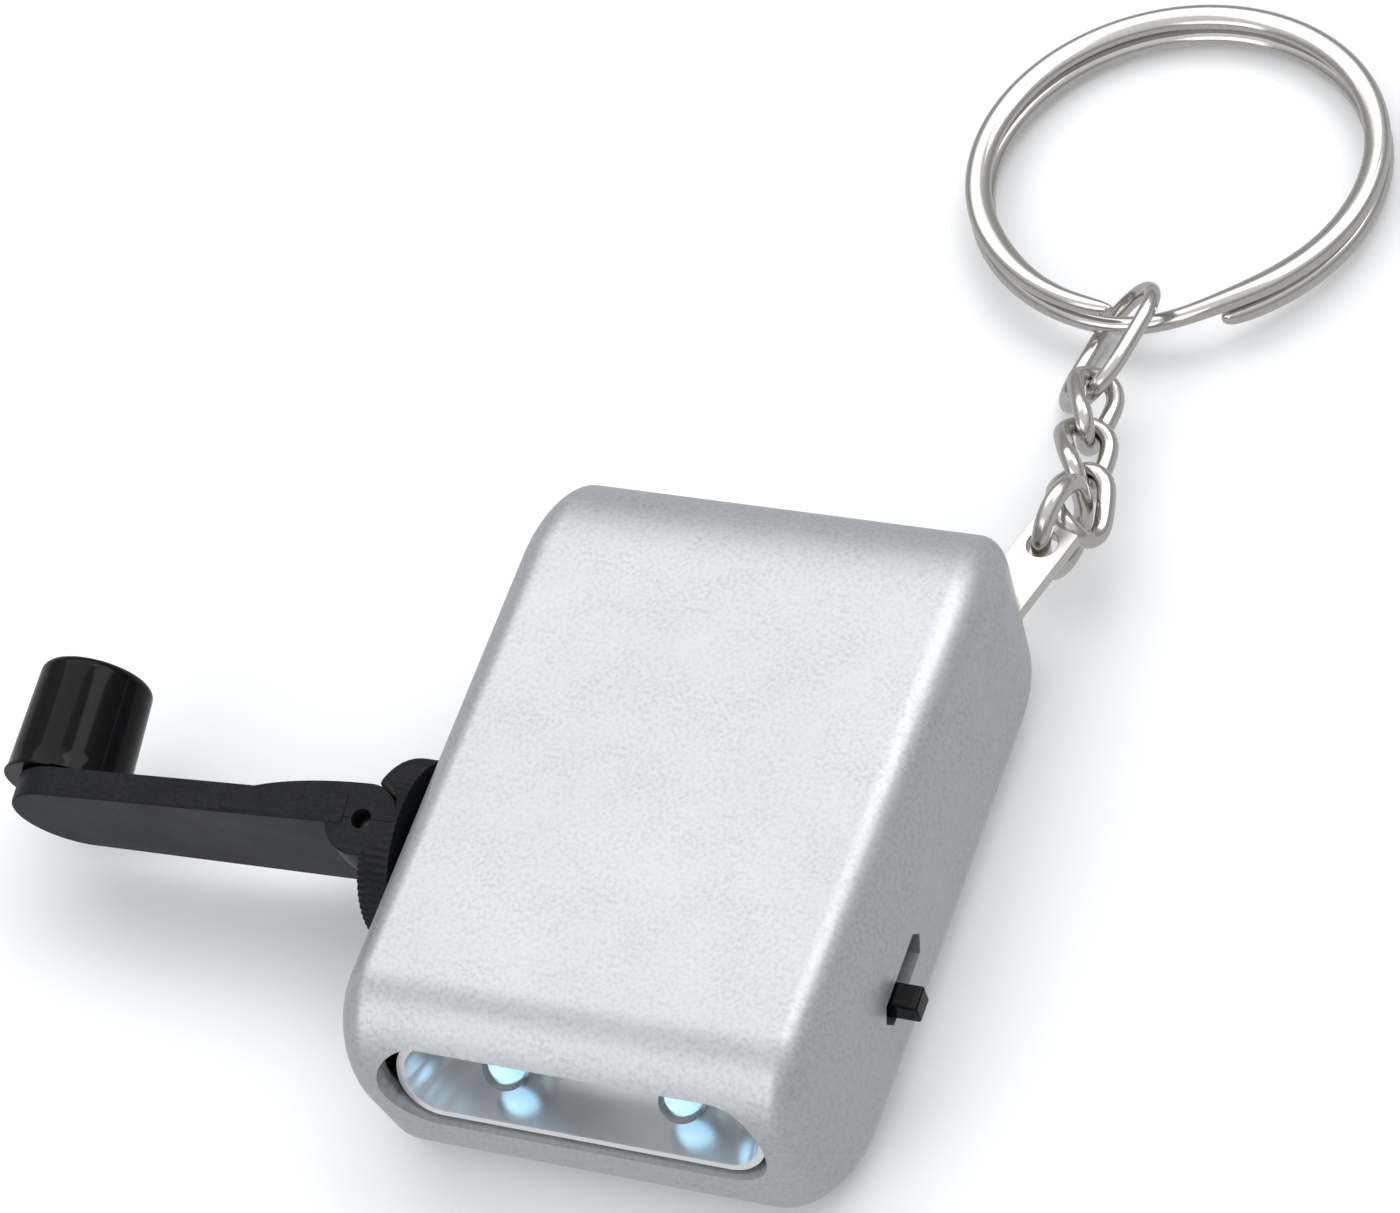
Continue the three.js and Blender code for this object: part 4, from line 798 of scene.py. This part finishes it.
class LIGHT_OT_dress_case(bpy.types.Operator):
    """Builds the two rounded shells with their openings and screw bosses"""

    bl_idname = "keychain_light.dress_case"
    bl_label = "Case"

    def execute(self, context):
        s, m = context.scene.case_settings, context.scene.light_settings
        # How far the cutting tools reach past the case
        reach_x, reach_y = s.width, s.length
        shell = pillow(0, CASE_STEPS)
        combine(shell, pillow(s.wall, HOLLOW_STEPS))
        combine(shell, rounded_slab(
            (-m.mouth_half_width, -reach_y, m.mouth_low),
            (m.mouth_half_width, -s.length / 2 + MOUTH_DEPTH, m.mouth_high), m.mouth_corner))
        bore = rod("X", middle_of("drive_gear").yz, -reach_x, -s.width / 2 + BORE_DEPTH, BORE_RADIUS)
        combine(shell, bore)
        combine(shell, self.switch_slot(s))
        combine(shell, self.tab_slot())
        top = copy_of(shell, "top")
        combine(top, block((-reach_x, -reach_y, s.parting), (reach_x, reach_y, reach_x)), "INTERSECT")
        combine(shell, block((-reach_x, -reach_y, -reach_x), (reach_x, reach_y, s.parting)), "INTERSECT")
        for screw in SCREWS:
            at = middle_of(screw).xy
            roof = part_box("key_tab")[0].z if screw == "shell_screw_tab" else s.parting
            combine(shell, rod("Z", at, BOSS_FOOT, roof, BOSS_RADIUS, sides=32), "UNION")
            combine(shell, rod("Z", at, -reach_x, RECESS_DEPTH, RECESS_RADIUS, sides=48))
            combine(shell, rod("Z", at, 0, s.height, SCREW_HOLE_RADIUS, sides=24))
        for piece, node in ((top, "top_shell"), (shell, "bottom_shell")):
            round_edges(piece, s.seam, crease=38, segments=2)
            smooth(piece, crease=34)
            settle(piece, node + "_cover", "case", "silver_paint", node)
        return {"FINISHED"}

    def switch_slot(self, s):
        """The slider's slot as a block whose two ends come to a point at the parting line."""
        low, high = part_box("switch_slider")
        slot = block((s.width / 2 - SLOT_DEPTH, low.y - SLOT_GAP, low.z - SLOT_GAP),
                     (s.width, high.y + SLOT_TRAVEL + SLOT_GAP, high.z + SLOT_GAP))
        middle_y = (low.y + high.y + SLOT_TRAVEL) / 2
        middle_z = (low.z + high.z) / 2
        edit(slot, "EDGE")
        pick(slot, "faces", lambda face: abs(face.normal.y) > FACING)
        bpy.ops.mesh.subdivide(number_cuts=1)
        for vert in bmesh.from_edit_mesh(slot.data).verts:
            if abs(vert.co.z - middle_z) < 10 * SAME_POINT:
                vert.co.z = s.parting
                vert.co.y += SLOT_POINT if vert.co.y > middle_y else -SLOT_POINT
        bmesh.update_edit_mesh(slot.data)
        leave()
        return slot

    def tab_slot(self):
        """The key tab without its holes, a little larger."""
        slot = node_copy("key_tab", "tab slot")
        edit(slot)
        wrap()
        bpy.ops.transform.resize(value=TAB_SLOT_SHARES, center_override=middle_of("key_tab"))
        leave()
        return slot


class LIGHT_OT_dress_tab(bpy.types.Operator):
    """Rounds the edges of the nickel tab"""

    bl_idname = "keychain_light.dress_tab"
    bl_label = "Key tab"

    def execute(self, context):
        tab = tidy_flats(node_copy("key_tab", "tab"))
        round_edges(tab, TAB_EDGE, crease=40, segments=3)
        smooth(tab, crease=40)
        settle(tab, "key_tab_plate", "case", "nickel", "key_tab", look="nickel_sheet")
        return {"FINISHED"}


class LIGHT_OT_dress_reflector(bpy.types.Operator):
    """Builds the chrome dish with its leaning front and the holes for the lamps"""

    bl_idname = "keychain_light.dress_reflector"
    bl_label = "Reflector"

    def execute(self, context):
        m = context.scene.light_settings
        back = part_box("reflector")[1].y
        far = m.mouth_half_width
        dish = dish_body(m, 0, m.lip_low - 2 * m.dish_wall, back,
                         m.dish_half_width + m.dish_wall, m.dish_half_height + m.dish_wall)
        combine(dish, dish_body(m, m.dish_wall, m.lip_low - 3 * m.dish_wall, back - 2 * m.dish_wall,
                                m.dish_half_width, m.dish_half_height))
        front = block((-2 * far, -far, -far), (2 * far, 0, 2 * far))
        lean = math.atan2(m.lip_high - m.lip_low, m.mouth_high - m.mouth_low)
        put(front, Matrix.Translation((0, m.lip_low, m.mouth_low)) @ Matrix.Rotation(-lean, 4, "X"))
        combine(dish, front)
        for side in (-1, 1):
            at = (side * m.lamp_spacing / 2, m.lamp_height)
            combine(dish, rod("Y", at, m.lip_low, back + far, m.lamp_radius + m.seam / 2))
        smooth(dish, crease=30)
        settle(dish, "reflector_dish", "case", "chrome", "reflector")
        return {"FINISHED"}


class LIGHT_OT_dress_lamps(bpy.types.Operator):
    """Builds the two clear lamps, each with its metal cup and its glowing drop"""

    bl_idname = "keychain_light.dress_lamps"
    bl_label = "Lamps"

    def execute(self, context):
        m = context.scene.light_settings
        flange_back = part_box("led_board")[0].y - FLANGE_GAP
        flange_front = flange_back - FLANGE_THICKNESS
        for side, node in ((-1, "led_left"), (1, "led_right")):
            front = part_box(node)[0].y
            middle = front + m.lamp_radius
            at = (side * m.lamp_spacing / 2, m.lamp_height)
            flange = [(m.lamp_radius, flange_front), (m.flange_radius, flange_front),
                      (m.flange_radius, flange_back)]
            dome = lathe("Y", at, dome_profile(m.lamp_radius, front, steps=12, pole_share=0.01) + flange, 48)
            smooth(dome, crease=40)
            settle(dome, node + "_dome", "case", "clear_epoxy", node)
            cup = lathe("Y", at, [(radius * MM, middle + behind * MM) for radius, behind in CUP_PROFILE]
                        + [(LEAD_RADIUS, flange_front)], 32)
            smooth(cup, crease=40)
            settle(cup, node + "_cup", "case", "steel")
            drop_front = middle + DROP_BEHIND - m.phosphor
            drop = lathe("Y", at, dome_profile(m.phosphor, drop_front, steps=8, pole_share=0.02), 32)
            smooth(drop, crease=60)
            settle(drop, node + "_phosphor", "case", "clear_epoxy", look="phosphor")
        return {"FINISHED"}


class LIGHT_OT_dress_hub(bpy.types.Operator):
    """Builds the ribbed hub with its seat for the folded arm, its lug and its shaft"""

    bl_idname = "keychain_light.dress_hub"
    bl_label = "Crank hub"

    def execute(self, context):
        c = context.scene.crank_settings
        outer = c.hub_inner - c.hub_thickness
        flat_radius = c.hub_radius - c.dome_depth
        far = 2 * c.hub_radius
        profile = [(c.hub_radius, c.hub_inner), (c.hub_radius, outer + c.dome_depth)]
        profile += [(flat_radius + c.dome_depth * across, outer + c.dome_depth * (1 - along))
                    for along, across in quarter(RIM_STEPS)]
        hub = lathe("X", (0, 0), profile, 2 * c.ribs)
        self.press_ribs(hub, c, 1.02 * flat_radius)
        combine(hub, block((outer - far, -far, -far), (outer + c.seat_depth, 0, far)))
        for low, high in ((-far, -c.lug_half), (c.lug_half, far)):
            combine(hub, rod("Z", (c.pin_x, 0), low, high, c.knuckle_radius + c.running_gap))
        lug = rod("Z", (c.pin_x, 0), -c.lug_half, c.lug_half, c.lug_radius)
        stem = block((c.pin_x, -c.lug_radius, -c.lug_half), (c.hub_inner, c.lug_radius, c.lug_half))
        combine(lug, stem, "UNION")
        combine(hub, lug, "UNION")
        combine(hub, rod("Z", (c.pin_x, 0), -far, far, c.pin_radius, sides=32))
        journal = rod("X", (0, 0), c.hub_inner - c.seat_depth / 2, c.journal_end, c.journal_radius)
        combine(hub, journal, "UNION")
        shaft = rod("X", (0, 0), c.hub_inner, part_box("crank_hub")[1].x, c.shaft_radius, sides=48)
        combine(hub, shaft, "UNION")
        smooth(put(hub, hub_place(c)), crease=20, weighted=False)
        settle(hub, "crank_hub_moulding", "crank_drive", "black_plastic", "crank_hub")
        return {"FINISHED"}

    def press_ribs(self, hub, c, from_radius):
        """Draws every second lengthwise row of points inwards."""
        step = math.pi / c.ribs
        inwards = 1 - c.rib_depth / c.hub_radius
        edit(hub)
        pick(hub, "verts", lambda vert: vert.co.yz.length > from_radius
             and round(math.atan2(vert.co.z, vert.co.y) / step) % 2 == 1)
        bpy.ops.transform.resize(value=(1, inwards, inwards), center_override=(0, 0, 0))
        leave()


class LIGHT_OT_dress_arm(bpy.types.Operator):
    """Builds the folding arm with its knuckle and the stud for the knob"""

    bl_idname = "keychain_light.dress_arm"
    bl_label = "Crank arm"

    def execute(self, context):
        c = context.scene.crank_settings
        front = c.arm_back + c.arm_thickness
        far = c.arm_length
        arm = self.plate(c, front)
        combine(arm, self.hump(c), "UNION")
        reach = c.lug_radius + c.running_gap
        half = c.lug_half + c.running_gap / 2
        slot = rod("Z", (0, 0), -half, half, reach)
        combine(slot, block((-reach, -far, -half), (far, far, half)), "UNION")
        combine(arm, slot)
        combine(arm, rod("Z", (0, 0), -far, far, c.pin_radius, sides=32))
        line = c.edge / 3
        for side in (-1, 1):
            face = side * c.knuckle_half
            combine(arm, block((-c.knuckle_radius, -line / 2, face - line),
                               (c.knuckle_radius + line, line / 2, face + line)))
        stud = rod("Y", knob_axis(c), front - c.edge, front + STUD_LENGTH, STUD_RADIUS, sides=32)
        combine(arm, stud, "UNION")
        smooth(put(arm, arm_place(c)), crease=34)
        settle(arm, "crank_arm_moulding", "crank_arm", "black_plastic", "crank_arm")
        return {"FINISHED"}

    def plate(self, c, front):
        """A flat plate that narrows from the knuckle to its oval tip."""
        plate = rod("Y", (0, 0), c.arm_back, front, c.tip_half, sides=96)
        edit(plate)
        bpy.ops.transform.resize(value=(c.tip_length / c.tip_half, 1, 1), center_override=(0, 0, 0))
        bpy.ops.transform.translate(value=(-c.arm_length + c.tip_length, 0, 0))
        leave()
        butt = block((-c.knuckle_radius, c.arm_back, -c.arm_half), (-c.knuckle_radius / 2, front, c.arm_half))
        take(butt, plate)
        bpy.ops.object.join()
        edit(plate)
        wrap()
        face_outwards()
        tidy_flats(plate)
        return round_edges(plate, c.edge, crease=50, segments=3)

    def hump(self, c):
        """The knuckle, whose outer side runs out along the arm."""
        hump = rod("Z", (0, 0), -c.knuckle_half, c.knuckle_half, c.knuckle_radius, sides=96)
        edit(hump)
        pick(hump, "verts", lambda vert: vert.co.x < 0 and vert.co.y > c.arm_back + c.edge)
        bpy.ops.transform.resize(value=(c.hump_length / c.knuckle_radius, 1, 1), center_override=(0, 0, 0))
        leave()
        return round_edges(hump, c.edge, crease=50, segments=3)


class LIGHT_OT_dress_knob(bpy.types.Operator):
    """Builds the glossy knob with its flared foot and its bore"""

    bl_idname = "keychain_light.dress_knob"
    bl_label = "Crank knob"

    def execute(self, context):
        c = context.scene.crank_settings
        foot = c.arm_back + c.arm_thickness + c.running_gap / 2
        tip = foot + c.knob_length
        rim = c.knob_round
        flare = 3 * c.edge
        profile = [(c.knob_foot - c.edge / 2, foot), (c.knob_foot, foot + c.edge / 2),
                   (c.knob_foot, foot + c.edge), (c.knob_base, foot + flare)]
        steps = 7
        for share in (step / steps for step in range(1, steps)):
            profile.append((c.knob_base + (c.knob_end - c.knob_base) * share,
                            foot + flare + (c.knob_length - flare - rim) * share))
        profile.append((c.knob_end, tip - rim))
        profile += [(c.knob_end - rim * (1 - across), tip - rim * (1 - along))
                    for along, across in quarter(RIM_STEPS)]
        knob = lathe("Y", knob_axis(c), profile, 128)
        combine(knob, rod("Y", knob_axis(c), foot - rim, tip - KNOB_ROOF, KNOB_BORE_RADIUS, sides=48))
        smooth(put(knob, arm_place(c)), crease=40, weighted=False)
        settle(knob, "crank_knob_moulding", "crank_knob", "black_plastic", "crank_knob", look="black_gloss")
        return {"FINISHED"}


class LIGHT_OT_dress_pin(bpy.types.Operator):
    """Builds the pin of the folding arm, its steel painted near black as painted shade for its sunk hole"""

    bl_idname = "keychain_light.dress_pin"
    bl_label = "Hinge pin"

    def execute(self, context):
        c = context.scene.crank_settings
        half = c.knuckle_half - PIN_SUNK
        pin = rod("Z", (0, 0), -half, half, c.pin_radius - c.edge / 2, sides=48)
        round_edges(pin, c.edge / 2, crease=40, segments=2)
        smooth(put(pin, arm_place(c)), crease=40)
        # The pin's near-black steel is painted shade for its sunk hole
        settle(pin, "hinge_pin_rod", "crank_arm", "steel", "hinge_pin", look="steel_with_painted_shade")
        return {"FINISHED"}


class LIGHT_OT_dress_switch(bpy.types.Operator):
    """Rounds the edges of the glossy switch button"""

    bl_idname = "keychain_light.dress_switch"
    bl_label = "Switch"

    def execute(self, context):
        button = tidy_flats(node_copy("switch_slider", "slider"))
        round_edges(button, BUTTON_EDGE, crease=40, segments=3)
        smooth(button, crease=40)
        settle(button, "switch_slider_button", "switch_slider", "black_plastic", "switch_slider",
               look="black_gloss")
        return {"FINISHED"}


class LIGHT_OT_dress_chain(bpy.types.Operator):
    """Rounds the wires of the five links"""

    bl_idname = "keychain_light.dress_chain"
    bl_label = "Chain"

    def execute(self, context):
        c = context.scene.chain_settings
        for node, radius in LINK_RADII.items():
            link = node_copy(node, node)
            fatten(link, LINK_SIDES, radius * MM, c.big_stouter if node == "big_link" else c.stouter)
            finish_wire(link, node + "_wire", node, node)
        return {"FINISHED"}


class LIGHT_OT_dress_ring(bpy.types.Operator):
    """Rounds and flattens the wire of the split ring"""

    bl_idname = "keychain_light.dress_ring"
    bl_label = "Split ring"

    def execute(self, context):
        c = context.scene.chain_settings
        ring = node_copy("split_ring", "ring")
        fatten(ring, RING_SIDES, RING_RADIUS * MM, c.big_stouter / 2)
        flatten_coils(ring, c)
        finish_wire(ring, "split_ring_wire", "split_ring", "split_ring")
        return {"FINISHED"}


class LIGHT_OT_dress_stage(bpy.types.Operator):
    """Adds the pale floor, the softboxes, the studio's light and the camera"""

    bl_idname = "keychain_light.dress_stage"
    bl_label = "Stage"

    def execute(self, context):
        scene = context.scene
        s = scene.stage_settings
        self.floor(s)
        for softbox in SOFTBOXES:
            self.softbox(*softbox)
        self.studio(scene)
        camera = bpy.data.objects.new("camera", bpy.data.cameras.new("camera"))
        scene.collection.objects.link(camera)
        camera.matrix_world = Matrix.Translation(s.camera_place) @ Euler(s.camera_turn).to_matrix().to_4x4()
        camera.data.lens = s.lens
        camera.data.sensor_width = 36
        camera.data.clip_start = 0.01
        camera.data.clip_end = 10
        scene.camera = camera
        scene.view_settings.view_transform = "Standard"
        return {"FINISHED"}

    def floor(self, s):
        floor = add(bpy.ops.mesh.primitive_plane_add, size=s.floor_size, location=(0, 0, -s.floor_gap))
        floor.name = "floor"
        paper = bpy.data.materials.new("Paper floor")
        paper.use_nodes = True
        shader = paper.node_tree.nodes["Principled BSDF"]
        shader.inputs["Base Color"].default_value = (*s.floor, 1)
        shader.inputs["Roughness"].default_value = 0.7
        floor.data.materials.append(paper)
        floor.visible_glossy = False

    def softbox(self, name, place, aim, width, height, power):
        deselect()
        bpy.ops.object.light_add(type="AREA", location=place)
        lamp = bpy.context.object
        lamp.name = name
        lamp.data.shape = "RECTANGLE"
        lamp.data.size = width
        lamp.data.size_y = height
        lamp.data.energy = power
        lamp.rotation_mode = "QUATERNION"
        lamp.rotation_quaternion = (Vector(aim) - Vector(place)).to_track_quat("-Z", "Y")

    def studio(self, scene):
        """Light from all round, darkest a little above the level."""
        world = bpy.data.worlds.new("Studio")
        scene.world = world
        world.use_nodes = True
        nodes, links = world.node_tree.nodes, world.node_tree.links
        back = nodes["Background"]
        place = nodes.new("ShaderNodeTexCoord")
        split = nodes.new("ShaderNodeSeparateXYZ")
        ramp = nodes.new("ShaderNodeValToRGB")
        stops = ramp.color_ramp.elements
        stops[0].color = (*STUDIO_LOW, 1)
        stops[1].color = (*STUDIO_HIGH, 1)
        for height, grey in STUDIO_GREYS:
            stops.new(height).color = (*shade(STUDIO_TINT, grey), 1)
        join(links, place, "Generated", split, "Vector")
        join(links, split, "Z", ramp, "Fac")
        join(links, ramp, "Color", back, "Color")
        back.inputs["Strength"].default_value = 1.0


STEPS = (
    LIGHT_OT_dress_inner,
    LIGHT_OT_dress_case,
    LIGHT_OT_dress_tab,
    LIGHT_OT_dress_reflector,
    LIGHT_OT_dress_lamps,
    LIGHT_OT_dress_hub,
    LIGHT_OT_dress_arm,
    LIGHT_OT_dress_knob,
    LIGHT_OT_dress_pin,
    LIGHT_OT_dress_switch,
    LIGHT_OT_dress_chain,
    LIGHT_OT_dress_ring,
    LIGHT_OT_dress_stage,
)


class LIGHT_PT_panel(bpy.types.Panel):
    """Lists the sizes, the colours and the steps"""

    bl_label = "Keychain light"
    bl_space_type = "VIEW_3D"
    bl_region_type = "UI"
    bl_category = "Keychain light"

    def draw(self, context):
        for settings in SETTINGS:
            box = self.layout.box()
            group = getattr(context.scene, settings)
            for key in group.bl_rna.properties.keys():
                if key not in ("rna_type", "name"):
                    box.prop(group, key)
        for step in STEPS:
            self.layout.operator(step.bl_idname)


def register():
    for name, kind in SETTINGS.items():
        bpy.utils.register_class(kind)
        setattr(bpy.types.Scene, name, PointerProperty(type=kind))
    for kind in (*STEPS, LIGHT_PT_panel):
        bpy.utils.register_class(kind)


def unregister():
    for kind in reversed((*STEPS, LIGHT_PT_panel)):
        bpy.utils.unregister_class(kind)
    for name, kind in SETTINGS.items():
        delattr(bpy.types.Scene, name)
        bpy.utils.unregister_class(kind)


def main():
    register()
    for step in STEPS:
        getattr(bpy.ops.keychain_light, step.bl_idname.split(".")[1])()
    deselect()


if __name__ == "__main__":
    main()
